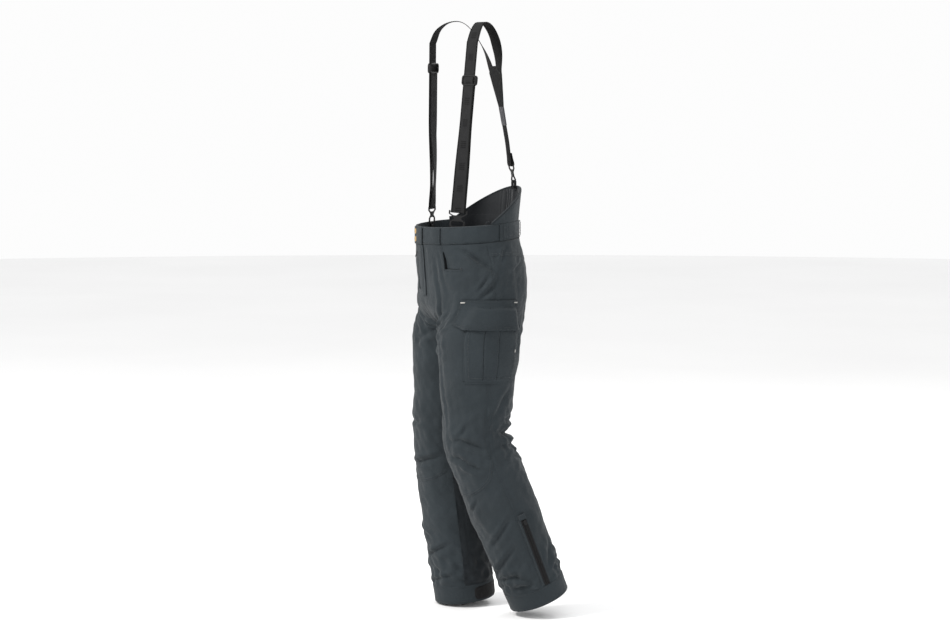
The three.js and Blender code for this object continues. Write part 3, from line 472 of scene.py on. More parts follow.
# Folds of the cloth: places (height, around), half width and depth. A ridge swells on either side.
FOLDS = {
    "left": [
        ([(-.075, .150), (-.140, .158), (-.220, .172), (-.315, .196)], .0055, .0026),
        ([(-.060, .190), (-.120, .196), (-.175, .215)], .0045, .0018),
        ([(-.330, .27), (-.400, .26), (-.470, .285), (-.540, .30)], .0065, .0022),
        ([(-.056, .30), (-.066, .37), (-.088, .42), (-.114, .49), (-.132, .535)], .0065, .0050),
        ([(-.132, .535), (-.158, .49), (-.176, .45), (-.194, .41)], .0065, .0045),
        ([(-.062, .34), (-.080, .39), (-.100, .44)], .0045, .0025),
        ([(-.132, .47), (-.150, .44), (-.172, .40)], .0050, .0030),
        ([(-.056, .65), (-.076, .60), (-.098, .57)], .0060, .0030),
        ([(-.105, .75), (-.120, .68), (-.126, .61)], .0065, .0035),
        ([(-.205, .86), (-.255, .78), (-.300, .71)], .0090, .0050),
        ([(-.255, .93), (-.300, .84), (-.352, .76)], .0095, .0060),
        ([(-.250, .05), (-.240, .13), (-.215, .21)], .0085, .0045),
        ([(-.278, .08), (-.300, .16), (-.340, .24)], .0085, .0045),
        ([(-.430, .62), (-.470, .57), (-.505, .54)], .0070, .0040),
        ([(-.566, .30), (-.560, .37), (-.580, .455), (-.596, .495)], .0060, .0062),
        ([(-.597, .29), (-.602, .35), (-.630, .41), (-.648, .455)], .0062, .0062),
        ([(-.524, .41), (-.545, .39), (-.552, .355)], .0050, .0035),
        ([(-.500, .57), (-.524, .65), (-.528, .74), (-.520, .83)], .0090, .0042),
        ([(-.545, .56), (-.566, .64), (-.572, .74), (-.560, .84)], .0120, .0095),
        ([(-.590, .56), (-.606, .63), (-.618, .72), (-.606, .82)], .0085, .0034),
        ([(-.640, .60), (-.655, .69), (-.648, .77)], .0070, .0045),
        ([(-.714, .355), (-.735, .315), (-.750, .28)], .0050, .0035),
        ([(-.790, .470), (-.818, .41), (-.854, .32)], .0060, .0050),
        ([(-.868, .445), (-.900, .36), (-.944, .24)], .0060, .0045),
        ([(-.962, .21), (-.952, .29), (-.948, .38), (-.966, .43), (-.982, .47)], .0060, .0055),
        ([(-.900, .66), (-.930, .60), (-.960, .57)], .0065, .0040),
        ([(-.975, .57), (-.960, .66), (-.968, .74)], .0060, .0040),
        ([(-.985, .32), (-.980, .40), (-.990, .50)], .0045, .0035),
    ],
    "right": [
        ([(-.075, .16), (-.150, .17), (-.230, .20)], .0055, .0024),
        ([(-.056, .34), (-.080, .42), (-.118, .50)], .0065, .0040),
        ([(-.150, .55), (-.180, .46), (-.200, .40)], .0065, .0040),
        ([(-.250, .05), (-.240, .13), (-.215, .21)], .0085, .0040),
        ([(-.278, .08), (-.300, .16), (-.340, .24)], .0085, .0045),
        ([(-.205, .86), (-.255, .78), (-.300, .71)], .0090, .0050),
        ([(-.250, .93), (-.302, .85), (-.350, .77)], .0095, .0060),
        ([(-.545, .18), (-.552, .24), (-.545, .33)], .0055, .0035),
        ([(-.666, .31), (-.652, .24), (-.642, .17), (-.634, .08)], .0065, .0075),
        ([(-.500, .57), (-.518, .66), (-.520, .78)], .0090, .0036),
        ([(-.548, .56), (-.562, .65), (-.560, .80)], .0120, .0072),
        ([(-.592, .58), (-.606, .68), (-.600, .82)], .0085, .0030),
        ([(-.920, .27), (-.903, .20), (-.880, .09)], .0060, .0055),
        ([(-.830, .34), (-.850, .26), (-.862, .20)], .0055, .0035),
        ([(-.990, .27), (-.976, .17), (-.966, .08)], .0055, .0045),
        ([(-.790, .53), (-.820, .44), (-.850, .36)], .0060, .0045),
        ([(-.900, .64), (-.935, .58), (-.960, .52)], .0065, .0040),
        ([(-.975, .60), (-.962, .70), (-.972, .77)], .0060, .0040),
    ],
}


def fold_height(s, z, places, half_width, depth):
    """How far one fold moves the cloth out at metric places (s, z)."""
    places = np.array(places)
    line = np.stack([places[:, 1] * girth(places[:, 0]), places[:, 0]], -1)
    run = lengths(line)
    best = np.full(s.shape, 1e9)
    signed, share = np.zeros(s.shape), np.zeros(s.shape)
    for k in range(len(line) - 1):
        d = line[k + 1] - line[k]
        t = np.clip(((s - line[k, 0]) * d[0] + (z - line[k, 1]) * d[1]) / (d @ d), 0, 1)
        off_s, off_z = s - line[k, 0] - t * d[0], z - line[k, 1] - t * d[1]
        away = np.hypot(off_s, off_z)
        nearer = away < best
        best = np.where(nearer, away, best)
        signed = np.where(nearer, away * np.sign(off_s * d[1] - off_z * d[0]), signed)
        share = np.where(nearer, (run[k] + t * np.linalg.norm(d)) / run[-1], share)
    fade = np.clip(np.sin(np.pi * np.clip(share, .02, .98)), 0, 1) ** .6
    valley = np.exp(-np.sqrt((best / half_width) ** 2 + .04) * 1.35 + .27)
    ridge = sum(rise * np.exp(-(((signed - way * half_width) / (wide * half_width)) ** 2))
                for way, wide, rise in ((1.9, 1.1, .75), (-2.4, 1.6, .40)))
    return 1.2 * depth * fade * (ridge - valley)


def waves(seed, count, longest, shortest):
    """Directions, wave numbers and phases of a few gentle swells in the cloth."""
    rng = np.random.default_rng(seed)
    bearing = rng.uniform(0, np.pi, count)
    number = 2 * np.pi / rng.uniform(shortest, longest, count)
    return np.stack([number * np.cos(bearing), number * np.sin(bearing), rng.uniform(0, 2 * np.pi, count)], -1)


SWELLS = {side: waves(seed, 9, .170, .050) for side, seed in (("left", 3), ("right", 8))}
CRUMPLES = {side: waves(seed, 8, .040, .018) for side, seed in (("left", 21), ("right", 34))}


def inside(value, low, high, soft):
    """One between two limits, falling to nothing over a soft edge outside them."""
    return smoothstep(low - soft, low, value) * (1 - smoothstep(high, high + soft, value))


# What is sewn on holds the cloth flat: from, to and soft edge, first round the pattern and then in height.
SEWN_ON = {
    "thigh_pocket": ((.312, .645, .03), (-.405, -.202, .012)),
    "side_zip": ((.505, .555, .035), (-1.0, -.795, .02)),
    "fly": ((-.1, .075, .03), (-.185, -.04, .02)),
}


def quiet(z, around):
    """Where the cloth is held flat, as a share."""
    return np.maximum.reduce([inside(around, *across) * inside(z, *tall) for across, tall in SEWN_ON.values()])


def pocket_mouth(z, around):
    """The hand pocket gapes: its rear edge sinks, and its front lip stands a little proud."""
    gape = inside(around, .2272, .2280, .055) * (around > .2250) * inside(z, -.108, -.098, .040) * (z > -.1145)
    lip = inside(around, .205, .2225, .02) * inside(z, -.110, -.080, .03)
    return .0012 * lip - .0075 * gape


def relief(side, z, around):
    """How far the padded cloth stands off its pattern: padding, crumples, folds and sewn-down seams."""
    s = around * girth(z)
    edges = smoothstep(0, .03, np.minimum(around % 1, 1 - around % 1) + np.where(z < CROTCH, .03, 0))
    free = smoothstep(-BAND, -BAND - .022, z) * smoothstep(CUFF_TOP, CUFF_TOP + .012, z)
    swell = sum(np.sin(a * s + b * z + c) for a, b, c in SWELLS[side]) * .00055
    behind_knee = np.exp(-(((z - KNEE_HINGE[1]) / .085) ** 2)) * (.35 + .65 * smoothstep(.42, .62, around))
    ankle = smoothstep(-.86, -.97, z)
    seat = np.exp(-(((z - CROTCH) / .06) ** 2)) * np.abs(np.cos(np.pi * around))
    rough = .0002 + .0006 * behind_knee + .0008 * ankle + .0006 * seat
    crumple = rough * sum(np.sin(a * s + b * z + c) for a, b, c in CRUMPLES[side])
    height = swell + crumple
    for places, half_width, depth in FOLDS[side]:
        height = height + fold_height(s, z, places, half_width, depth)
    from_seams = [((around - seam + .5) % 1 - .5) * girth(z) for seam in (.5, 1)]
    sewn = -.0011 * sum(np.exp(-((off / .0022) ** 2)) for off in from_seams)
    held = quiet(z, around)
    return ((height * (1 - held) - .0014 * held) * edges + sewn) * free + pocket_mouth(z, around)


def pattern_normal(z, around):
    """The straight pattern's outward direction."""
    step = .003
    along = straight(z, around + step) - straight(z, around - step)
    up = straight(z + step, around) - straight(z - step, around)
    return unit(np.cross(along, up))


def skin(side, z, around, out=0.0):
    """A point `out` off the finished surface, in this stance."""
    z, around, out = np.broadcast_arrays(*(np.asarray(v, float) for v in (z, around, out)))
    lift = out + relief(side, z, around)
    p = straight(z, around) + pattern_normal(z, around) * lift[..., None]
    from_seam = np.minimum(np.abs(around), np.abs(1 - around)) * girth(z)
    pull = np.exp(-((from_seam / .007) ** 2)) * smoothstep(CROTCH - .004, CROTCH + .002, z)
    p[..., 0] *= 1 - pull
    return stand(side, p)


def pattern_line(places, spacing=.004):
    """Metric places every few millimetres along a smooth line through (height, around) places."""
    return curve_through([(around * girth(z), z) for z, around in places], spacing)


def beside(line, distance):
    """A metric line moved sideways by a distance."""
    tangent = unit(np.gradient(line, axis=0))
    return line + distance * np.stack([tangent[:, 1], -tangent[:, 0]], -1)


def on_skin(side, line, out=0.0):
    """Points off the finished surface, along a metric line."""
    s, z = line[:, 0], line[:, 1]
    return skin(side, z, s / girth(z), out)


def waist_point(side, z, around, inset=0.0):
    """The waistband and what rises above it follow the waist's own ellipse."""
    x, y = trunk_arc(-BAND, around, inset)
    x, y, z = np.broadcast_arrays(SIDES[side] * x, y, z)
    return np.stack([x, y, z + TILT * y], -1)


# ---------------------------------------------------------------- making meshes

class Build:
    """Gathers closed patches into one mesh, each with cloth coordinates and a material number."""

    def __init__(self):
        self.points, self.coords, self.faces, self.kinds, self.size = [], [], [], [], 0

    def add(self, points, coords, faces, kinds):
        """Adds a closed patch, facing out."""
        points = np.asarray(points, float).reshape(-1, 3)
        volume = 0.0
        for f in faces:
            a = points[f[:, 0]]
            for k in range(1, f.shape[1] - 1):
                volume += np.einsum("ij,ij->", a, np.cross(points[f[:, k]], points[f[:, k + 1]]))
        self.points.append(points)
        self.coords.append(np.asarray(coords, float).reshape(-1, 3))
        for f, kind in zip(faces, kinds):
            f = f[:, ::-1] if volume < 0 else f
            self.faces += (f + self.size).tolist()
            self.kinds += [kind] * len(f)
        self.size += len(points)

    def sheet(self, outer, inner, coords, mask=None, closed=False, kinds=(0, 0, 0)):
        """A sheet with thickness over two grids of points. The mask says which cells there are."""
        rows, columns = outer.shape[:2]
        cells = columns if closed else columns - 1
        mask = np.ones((rows - 1, cells), bool) if mask is None else mask
        index = np.arange(rows * columns).reshape(rows, columns)
        if closed:
            index = np.hstack([index, index[:, :1]])
        a, b, c, d = index[:-1, :-1], index[:-1, 1:], index[1:, 1:], index[1:, :-1]
        under = rows * columns
        top = np.stack([a, d, c, b], -1)[mask]
        bottom = np.stack([a, b, c, d], -1)[mask] + under
        padded = np.pad(mask, 1)
        if closed:
            padded[:, 0], padded[:, -1] = padded[:, -2], padded[:, 1]
        rims = []
        for (p, q), shift in (((a, b), (-1, 0)), ((b, c), (0, 1)), ((c, d), (1, 0)), ((d, a), (0, -1))):
            open_side = mask & ~padded[1 + shift[0]:rows + shift[0], 1 + shift[1]:cells + 1 + shift[1]]
            rims.append(np.stack([p, q, q + under, p + under], -1)[open_side])
        coords = np.concatenate([coords.reshape(-1, 3)] * 2)
        points = np.concatenate([outer.reshape(-1, 3), inner.reshape(-1, 3)])
        faces = [top, bottom, np.concatenate(rims)]
        used = np.unique(np.concatenate([f.ravel() for f in faces]))
        place = np.zeros(len(points), int)
        place[used] = np.arange(len(used))
        self.add(points[used], coords[used], [place[f] for f in faces], kinds)

    def tube(self, rings, coords, looped=False, kind=0, face_kinds=None):
        """A solid through rings of points. The ends are capped unless the tube closes on itself."""
        count, sides = rings.shape[:2]
        index = np.arange(count * sides).reshape(count, sides)
        index = np.hstack([index, index[:, :1]])
        if looped:
            index = np.vstack([index, index[:1]])
        quads = np.stack([index[:-1, :-1], index[:-1, 1:], index[1:, 1:], index[1:, :-1]], -1)
        faces, kinds = [], []
        for k in range(sides):
            faces.append(quads[:, k])
            kinds.append(kind if face_kinds is None else face_kinds[k])
        if not looped:
            faces += [index[0, :-1][::-1][None], index[-1, :-1][None]]
            kinds += [kind, kind]
        self.add(rings, coords, faces, kinds)

    def lathe(self, profile, basis):
        """A turned solid: (radius, height) pairs about the basis's Z."""
        angle = np.linspace(0, 2 * np.pi, 28, endpoint=False)
        rings = np.array([[(r * math.cos(a), r * math.sin(a), h) for a in angle] for r, h in profile])
        rings = rings @ np.array(basis.to_3x3()).T + np.array(basis.translation)
        self.tube(rings, np.zeros(rings.shape))

    def make(self, name, materials, body=None, slot=None, replaces=(), bevel=0.0, smooth=38):
        """The gathered patches as an object, with its body and the CAD nodes it stands for. Its slot argument
        is not used.
        """
        mesh = bpy.data.meshes.new(name)
        mesh.from_pydata(np.concatenate(self.points).tolist(), [], self.faces)
        mesh.polygons.foreach_set("material_index", self.kinds)
        mesh.polygons.foreach_set("use_smooth", [True] * len(self.faces))
        layer = mesh.attributes.new("cloth", "FLOAT_VECTOR", "POINT")
        layer.data.foreach_set("vector", np.concatenate(self.coords).ravel().astype(np.float32))
        mesh.set_sharp_from_angle(angle=math.radians(smooth))
        for key in materials:
            mesh.materials.append(MATERIALS[key])
        piece = bpy.data.objects.new(name, mesh)
        bpy.context.scene.collection.objects.link(piece)
        if bevel:
            soften(piece, bevel)
        if body:
            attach(piece, body)
        if replaces:
            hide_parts(*replaces)
        return piece


def soften(piece, width, segments=2):
    """Rounds a piece's hard edges."""
    bevel = piece.modifiers.new("edge", "BEVEL")
    bevel.width, bevel.segments = width, segments
    bevel.limit_method, bevel.angle_limit = "ANGLE", math.radians(35)


def cloth_coords(across, up):
    """Cloth coordinates of a grid, from its metric places across and up."""
    return np.stack(np.broadcast_arrays(across, up, 0 * up), -1)


def flat_coords(z, around):
    """Cloth coordinates of places on the pattern."""
    return cloth_coords(around * girth(z), z)


def thread(build, line, out, length=.0030, gap=.0013, radius=.00042, kind=0):
    """A row of stitches along a line of points, standing proud along `out`."""
    run = lengths(line)
    pitch = length + gap
    count = int(run[-1] // pitch)
    if count < 1:
        return
    starts = (run[-1] - count * pitch + gap) / 2 + pitch * np.arange(count)

    def at(distance, values):
        return np.stack([np.interp(distance, run, values[:, k]) for k in range(3)], -1)

    a, b = at(starts, line), at(starts + length, line)
    up = unit(at(starts + length / 2, out))
    along = b - a
    across = unit(np.cross(along, up))
    stations = ((0, .25, -.6), (.18, .85, .15), (.5, 1, .45), (.82, .85, .15), (1, .25, -.6))
    angles = np.linspace(0, 2 * np.pi, 5, endpoint=False)
    rings = []
    for share, fat, lift in stations:
        middle = a + along * share + up * radius * lift
        ring = [middle + radius * fat * (math.cos(t) * across + math.sin(t) * up) for t in angles]
        rings.append(np.stack(ring, 1))
    rings = np.stack(rings, 1)
    size = len(stations) * len(angles)
    index = np.arange(size).reshape(len(stations), -1)
    index = np.hstack([index, index[:, :1]])
    quads = np.stack([index[:-1, :-1], index[:-1, 1:], index[1:, 1:], index[1:, :-1]], -1).reshape(-1, 4)
    caps = np.stack([index[0, :-1][::-1], index[-1, :-1]])
    shift = (np.arange(count) * size)[:, None, None]
    coords = np.zeros((count * size, 3))
    coords[:, 1] = np.repeat(starts, size)
    faces = [(quads + shift).reshape(-1, 4), (caps + shift).reshape(-1, len(angles))]
    build.add(rings, coords, faces, (kind, kind))


def sew(build, at, out, **options):
    """A row of stitches along `at(out)`, which gives a line's points at a distance out of the cloth."""
    line = at(out)
    thread(build, line, at(out + .002) - line, **options)


def stitch(build, side, places, sideways=0.0, out=.0002, **options):
    """A row of stitches on the garment, beside a line through the given places."""
    line = beside(pattern_line(places), sideways)
    sew(build, lambda distance: on_skin(side, line, distance), out, **options)


def strip(build, side, places, width, thick):
    """A narrow band of cloth lying on the garment along a line, with rounded edges."""
    line = pattern_line(places)
    shares = np.array([-1, -.86, -.4, .4, .86, 1]) * width / 2
    heights = np.array([-.0004, thick * .8, thick, thick, thick * .8, -.0004])
    outer = np.stack([on_skin(side, beside(line, w), h) for w, h in zip(shares, heights)], 1)
    inner = np.stack([on_skin(side, beside(line, w), -.0009) for w in shares], 1)
    coords = np.zeros(outer.shape)
    coords[..., 0], coords[..., 1] = shares, lengths(line)[:, None]
    build.sheet(outer, inner, coords)


def bartack(build, side, place, length):
    """A dense upright block of stitches that holds a pocket's corner."""
    z, around = place
    for k in range(-3, 4):
        at = around + k * .0005 / girth(z)
        ends = [(z + length / 2, at), (z - length / 2, at)]
        stitch(build, side, ends, out=.0006, length=length * .9, gap=.0001, radius=.0006, kind=1)


# ---------------------------------------------------------------- shells of the trunk and legs

GUARD = (.78, 1.035)  # the scuff guard runs from behind to just past the inseam
SLIT = {"near": .2168, "far": .2272, "end": .315, "top": -.066, "sill": -.1124, "bottom": -.114}
FLY_OPENING = {"around": .0578, "bottom": -.178}
OUTSEAM_TURNS = [.492, .496, .5, .504, .508]  # columns close together at the outseam


def bends(piece, side, joint):
    """Bakes a piece's placement into its mesh; it is not blended across the hip or the knee."""
    if joint == "hip":
        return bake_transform(piece)
    ends = stand(side, np.array([[.1, 0, -.30], [.1, 0, THIGH_END]]))
    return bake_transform(piece)


def shell_sheet(side, rows, columns, mask=None):
    """Padded cloth over a grid of the pattern, lined inside."""
    build = Build()
    z, around = rows[:, None], columns[None, :]
    outer, inner = skin(side, z, around), skin(side, z, around, -SHELL)
    build.sheet(outer, inner, flat_coords(z, around), mask, kinds=(0, 1, 0))
    return build


def cell_middles(rows, columns):
    """Height and place round the pattern of a grid's cells."""
    return (rows[:-1, None] + rows[1:, None]) / 2, (columns[None, :-1] + columns[None, 1:]) / 2


def named(side, *parts):
    return [f"{part}_{side}" for part in parts]


def add_upper(side):
    """Hips, seat and thigh, with the hand pocket's opening cut through."""
    slit_levels = [SLIT[part] for part in ("top", "sill", "bottom")]
    rows = spaced([-BAND - .0003, *slit_levels, FLY_OPENING["bottom"], CROTCH, THIGH_END], .0036)
    turns = [0, FLY_OPENING["around"], SLIT["near"], SLIT["far"], SLIT["end"], *OUTSEAM_TURNS, 1]
    columns = spaced(turns, .0066)
    z, around = cell_middles(rows, columns)
    slot = (around > SLIT["near"]) & (around < SLIT["far"]) & (z < SLIT["top"]) & (z > SLIT["bottom"])
    sill = (around > SLIT["near"]) & (around < SLIT["end"]) & (z < SLIT["sill"]) & (z > SLIT["bottom"])
    fly = (side == "right") & (around < FLY_OPENING["around"]) & (z > FLY_OPENING["bottom"])
    build = shell_sheet(side, rows, columns, ~(slot | sill | fly))
    stood_for = named(side, "hip_front", "seat", "thigh_front", "thigh_back")
    piece = build.make(f"upper_shell_{side}", ["shell", "lining"], slot="shell", replaces=stood_for)
    bends(piece, side, "hip")


def add_lower(side):
    """Knee and shin, with the darker scuff guard on the inside of the leg."""
    rows = spaced([THIGH_END, SHIN_START, CUFF_TOP - .002], .0034)
    columns = spaced([GUARD[1] - 1, *OUTSEAM_TURNS, GUARD[0], 1, GUARD[1]], .0062)
    z, around = cell_middles(rows, columns)
    guard = (around > GUARD[0]) & (z < SHIN_START)
    build = shell_sheet(side, rows, columns, ~guard)
    stood_for = named(side, "knee_section", "shin_front", "shin_back")
    piece = build.make(f"lower_shell_{side}", ["shell", "lining"], slot="shell", replaces=stood_for)
    bends(piece, side, "knee")

    build = shell_sheet(side, rows[rows <= SHIN_START + 1e-9], columns[columns >= GUARD[0] - 1e-9])
    stood_for = named(side, "inner_guard")
    piece = build.make(f"inner_guard_{side}", ["guard", "lining"], slot="guard", replaces=stood_for)
    bends(piece, side, "knee")


def rows_of(build, side, line, offsets, **options):
    """Rows of stitches beside one line."""
    for sideways in offsets:
        stitch(build, side, line, sideways, kind=1, **options)


def add_upper_trim(side):
    """Seam tapes, welts and stitching on the hip and thigh."""
    build = Build()
    welt = [(-.049, .2115), (-.082, .2115), (-.117, .2115)]
    strip(build, side, welt, .0085, .0009)
    strip(build, side, [(-.1165, .222), (-.1165, .27), (-.1165, .318)], .0055, .0008)
    outseam = [(z, .5) for z in (-.050, -.120, -.200, -.290, -.380, -.476)]
    rows_of(build, side, outseam, (-.0045, .0045))
    rows_of(build, side, welt, (.0020, -.0020), out=.001)
    inseam = [(-.300, .012), (-.380, .010), (-.476, .010)]
    for places in (inseam, [(z, 1 - a) for z, a in inseam]):
        stitch(build, side, places, kind=1)
    stitch(build, side, [(z, .988) for z in (-.052, -.120, -.190, -.240)], kind=1)
    yoke = [(-.110, .985), (-.098, .86), (-.086, .72), (-.080, .60), (-.078, .51)]
    strip(build, side, yoke, .007, .0008)
    rows_of(build, side, yoke, (-.0024, .0024), out=.0009)
    bartack(build, side, (-.1125, .318), .007)
    piece = build.make(f"upper_trim_{side}", ["shell", "thread", "thread_pale"], slot="shell")
    bends(piece, side, "hip")


def add_lower_trim(side):
    """The shaped knee's seams, the shin's long seams and their stitching."""
    build = Build()
    knee_curve = [(-.620, .500), (-.650, .472), (-.672, .440), (-.692, .36),
                  (-.700, .25), (-.692, .14), (-.672, .06)]
    strip(build, side, knee_curve, .0075, .0009)
    rows_of(build, side, knee_curve, (-.0025, .0025), out=.001)
    rows_of(build, side, [(z, .5) for z in (-.478, -.560, -.640, -.720, -.785)], (-.0048, .0048))
    strip(build, side, [(-.478, .532), (-.540, .527), (-.600, .520), (-.640, .510)], .0065, .0008)
    for edge, offsets in zip(GUARD, ((.0030, -.0030), (-.0030,))):
        rows_of(build, side, [(z, edge) for z in (-.676, -.78, -.90, -.996)], offsets)
    stitch(build, side, [(SHIN_START - .003, a) for a in (.785, .85, .92, .98, 1.03)], kind=1)
    piece = build.make(f"lower_trim_{side}", ["shell", "thread"], slot="shell")
    bends(piece, side, "knee")


# ---------------------------------------------------------------- hem: cuff, patch, gaiter

PATCH = {"from": .775, "to": .99, "top": HEM + .042, "bottom": HEM + .006}
GAITER = {"top": -.840, "bottom": HEM + .008, "top_inset": .008, "bottom_inset": .026}


def add_cuff(side):
    """The turned-up hem: a doubled band with a rounded lower edge and a row of stitches near its top."""
    build = Build()
    columns = np.linspace(0, 1, 112, endpoint=False)
    profile = [(CUFF_TOP - .0003, .0002), (CUFF_TOP - .0012, .0012), (CUFF_TOP - .010, .0014),
               (CUFF_TOP - .025, .0011), (HEM + .012, .0013), (HEM + .004, .0012), (HEM + .0012, .0006),
               (HEM + .0002, -.0008), (HEM + .0008, -.0030), (HEM + .004, -.0042), (HEM + .025, -.0045),
               (CUFF_TOP - .002, -.0046)]
    z, out = (np.array(v)[:, None] for v in zip(*profile))
    around = columns[None, :]
    ripple = .0004 * np.sin(14 * np.pi * around + 3) * smoothstep(HEM, CUFF_TOP, z)
    rings = skin(side, z, around, out + ripple)
    coords = flat_coords(z, np.broadcast_to(around, rings.shape[:2]))
    build.tube(rings.transpose(1, 0, 2), coords.transpose(1, 0, 2), looped=True)
    for level, out in ((CUFF_TOP - .0042, .0014), (HEM + .0045, .0013)):
        stitch(build, side, [(level, a) for a in np.linspace(.02, .98, 12)], out=out, kind=1)
    build.make(f"hem_cuff_{side}", ["shell", "thread"], f"shin_{side}", "shell", named(side, "hem_cuff"))


def add_hem_patch(side):
    """The black scuff patch: a rounded rectangle, sewn on round its edge."""
    build = Build()
    corner, low = .011, .0013
    middle_z, half_tall = (PATCH["top"] + PATCH["bottom"]) / 2, (PATCH["top"] - PATCH["bottom"]) / 2
    middle = (PATCH["from"] + PATCH["to"]) / 2
    half_long = (PATCH["to"] - PATCH["from"]) / 2 * girth(middle_z)
    fractions = np.linspace(-1, 1, 30)
    s = fractions * half_long
    pinch = np.clip((np.abs(s) - (half_long - corner)) / corner, 0, 1)
    tall = half_tall - corner * (1 - np.sqrt(np.clip(1 - pinch**2, .04, 1)))
    rows = np.array([-1, -.94, -.5, 0, .5, .94, 1])
    z = middle_z + rows[:, None] * tall[None, :]
    around = middle + np.broadcast_to(s[None, :], z.shape) / girth(middle_z)
    edge = np.minimum(1 - np.abs(rows)[:, None], (1 - np.abs(fractions))[None, :] * 4)
    crown = .0015 * smoothstep(0, .05, edge)
    outer, inner = skin(side, z, around, low + .0002 + crown), skin(side, z, around, low - .0012)
    build.sheet(outer, inner, flat_coords(z, around))
    inset = .0035
    loop = []
    for t in np.linspace(0, 2 * np.pi, 60):
        bulge = (abs(math.cos(t)) ** 4 + abs(math.sin(t)) ** 4) ** -.25
        dz, ds = (half_tall - inset) * math.sin(t) * bulge, (half_long - inset) * math.cos(t) * bulge
        dz = np.clip(dz, inset - half_tall, half_tall - inset)
        loop.append((middle_z + dz, middle + ds / girth(middle_z)))
    stitch(build, side, loop, out=low + .0016, kind=1)
    build.make(f"hem_patch_{side}", ["rubber", "thread_black"], f"shin_{side}", "elastic",
               named(side, "hem_patch"))


def add_gaiter(side):
    """The inner snow gaiter: sewn near the shell at its top and gathered by elastic below."""
    build = Build()
    v = np.linspace(0, 1, 34)[:, None]
    around = np.linspace(0, 1, 128, endpoint=False)[None, :]
    z = lerp(GAITER["top"], GAITER["bottom"], v)
    inset = lerp(GAITER["top_inset"], GAITER["bottom_inset"], np.sqrt(v))
    pleats = np.sin(2 * np.pi * 30 * around + 1.3 * np.sin(2 * np.pi * 7 * around))
    inset = inset + .0016 * pleats * smoothstep(.35, .9, v) + .0008 * np.sin(40 * v + 12 * around * np.pi)
    layers = [skin_flat(side, z, around, -depth) for depth in (inset, inset + .0008)]
    build.sheet(*layers, flat_coords(z, around), closed=True)
    build.make(f"snow_gaiter_{side}", ["gaiter"], f"shin_{side}", "lining", [f"snow_gaiter_{side}"])


# ---------------------------------------------------------------- zips

def zip_basis(foot, top, out):
    """Basis whose Z runs up a zip and whose Y points out of the garment."""
    up = (top - foot).normalized()
    across = out.cross(up).normalized()
    basis = Matrix((across, up.cross(across), up)).transposed().to_4x4()
    basis.translation = foot
    return basis


def placed(points, basis):
    """Points of a basis's own frame, in the garment's."""
    return np.asarray(points, float) @ np.array(basis.to_3x3()).T + np.array(basis.translation)


def across_of(basis, count):
    """A basis's X direction, once for each of a line's points."""
    return np.repeat(np.array(basis.to_3x3())[:, 0][None], count, 0)


def rounded_box(build, centre, size, basis, kind, round_by):
    """A small block with its long edges taken off."""
    w, d, h = (v / 2 for v in size)
    r = round_by * min(w, d)
    outline = [(w, -d + r), (w, d - r), (w - r, d), (-w + r, d),
               (-w, d - r), (-w, -d + r), (-w + r, -d), (w - r, -d)]
    rings = [[(centre[0] + x * f, centre[1] + y * f, centre[2] + z) for x, y in outline]
             for z, f in ((-h, .82), (-h + r, 1), (h - r, 1), (h, .82))]
    build.tube(placed(rings, basis), np.array(rings), kind=kind)


def zip_strip(build, basis, length, width):
    """Tape with a row of interlocked coils along its middle."""
    across = np.array([-.5, -.42, -.2, 0, .2, .42, .5]) * width
    along = spaced([0, length], .008)
    lift = np.array([.0002, .0005, .0005, .0003, .0005, .0005, .0002])
    grid = np.array([[(x, y, z) for x, y in zip(across, lift)] for z in along])
    build.sheet(placed(grid, basis), placed(grid - [0, .0010, 0], basis), grid[..., [0, 2, 1]])
    pitch = .0021  # of the coils
    for k in range(int(length / pitch)):
        way = 1 if k % 2 else -1
        rounded_box(build, (way * .0011, .0014, (k + .5) * pitch), (.0036, .0021, .0016), basis, 1, .6)
    for way in (-1, 1):
        sew(build, lambda out: placed([(way * .0052, out, z) for z in along], basis), .0006, kind=2)


SIDE_ZIP = {"around": .53, "length": .196, "width": .0165, "out": .0009, "garage": .022}


def add_side_zip(side):
    """The ankle's zip between two welts, with a tab of cloth over its top."""
    around = SIDE_ZIP["around"]
    foot_z = CUFF_TOP + .001
    places = [(np.array(z), np.array(around)) for z in (foot_z, foot_z + SIDE_ZIP["length"])]
    ends, normals = ([measure(*place) for place in places] for measure in (straight, pattern_normal))
    foot, top = (Vector(stand(side, p + n * SIDE_ZIP["out"])) for p, n in zip(ends, normals))
    outward = Vector(stand(side, ends[0] + normals[0] * .010) - stand(side, ends[0]))
    basis = zip_basis(foot, top, outward)
    build = Build()
    zip_strip(build, basis, SIDE_ZIP["length"], SIDE_ZIP["width"])
    build.make(f"side_zip_{side}", ["tape", "coil", "thread_black"], f"shin_{side}", "elastic",
               named(side, "side_zip"))

    build = Build()
    for way in (-1, 1):
        line = [(z, around + way * .0108 / girth(z)) for z in (foot_z + .002, -.93, -.87, -.804)]
        strip(build, side, line, .0085, .0020)
        stitch(build, side, line, way * .0016, out=.0021, kind=1)
    strip(build, side, [(-.792, around), (-.806, around)], SIDE_ZIP["garage"], .0062)
    build.make(f"side_zip_welt_{side}", ["shell", "thread"], f"shin_{side}", "shell")


# ---------------------------------------------------------------- cargo pockets

CARGO = {
    "from": .4, "to": .618, "top": -.214, "bottom": -.414,
    "depth": .0115, "mouth_depth": .0100, "seat": .0018, "wall": .0016, "pleats": (.31, .60),
}
FLAP = {
    "from": .304, "to": .652, "top": -.1965, "bottom": -.276,
    "thick": .0026, "corner": .081, "corner_tall": .017,
}


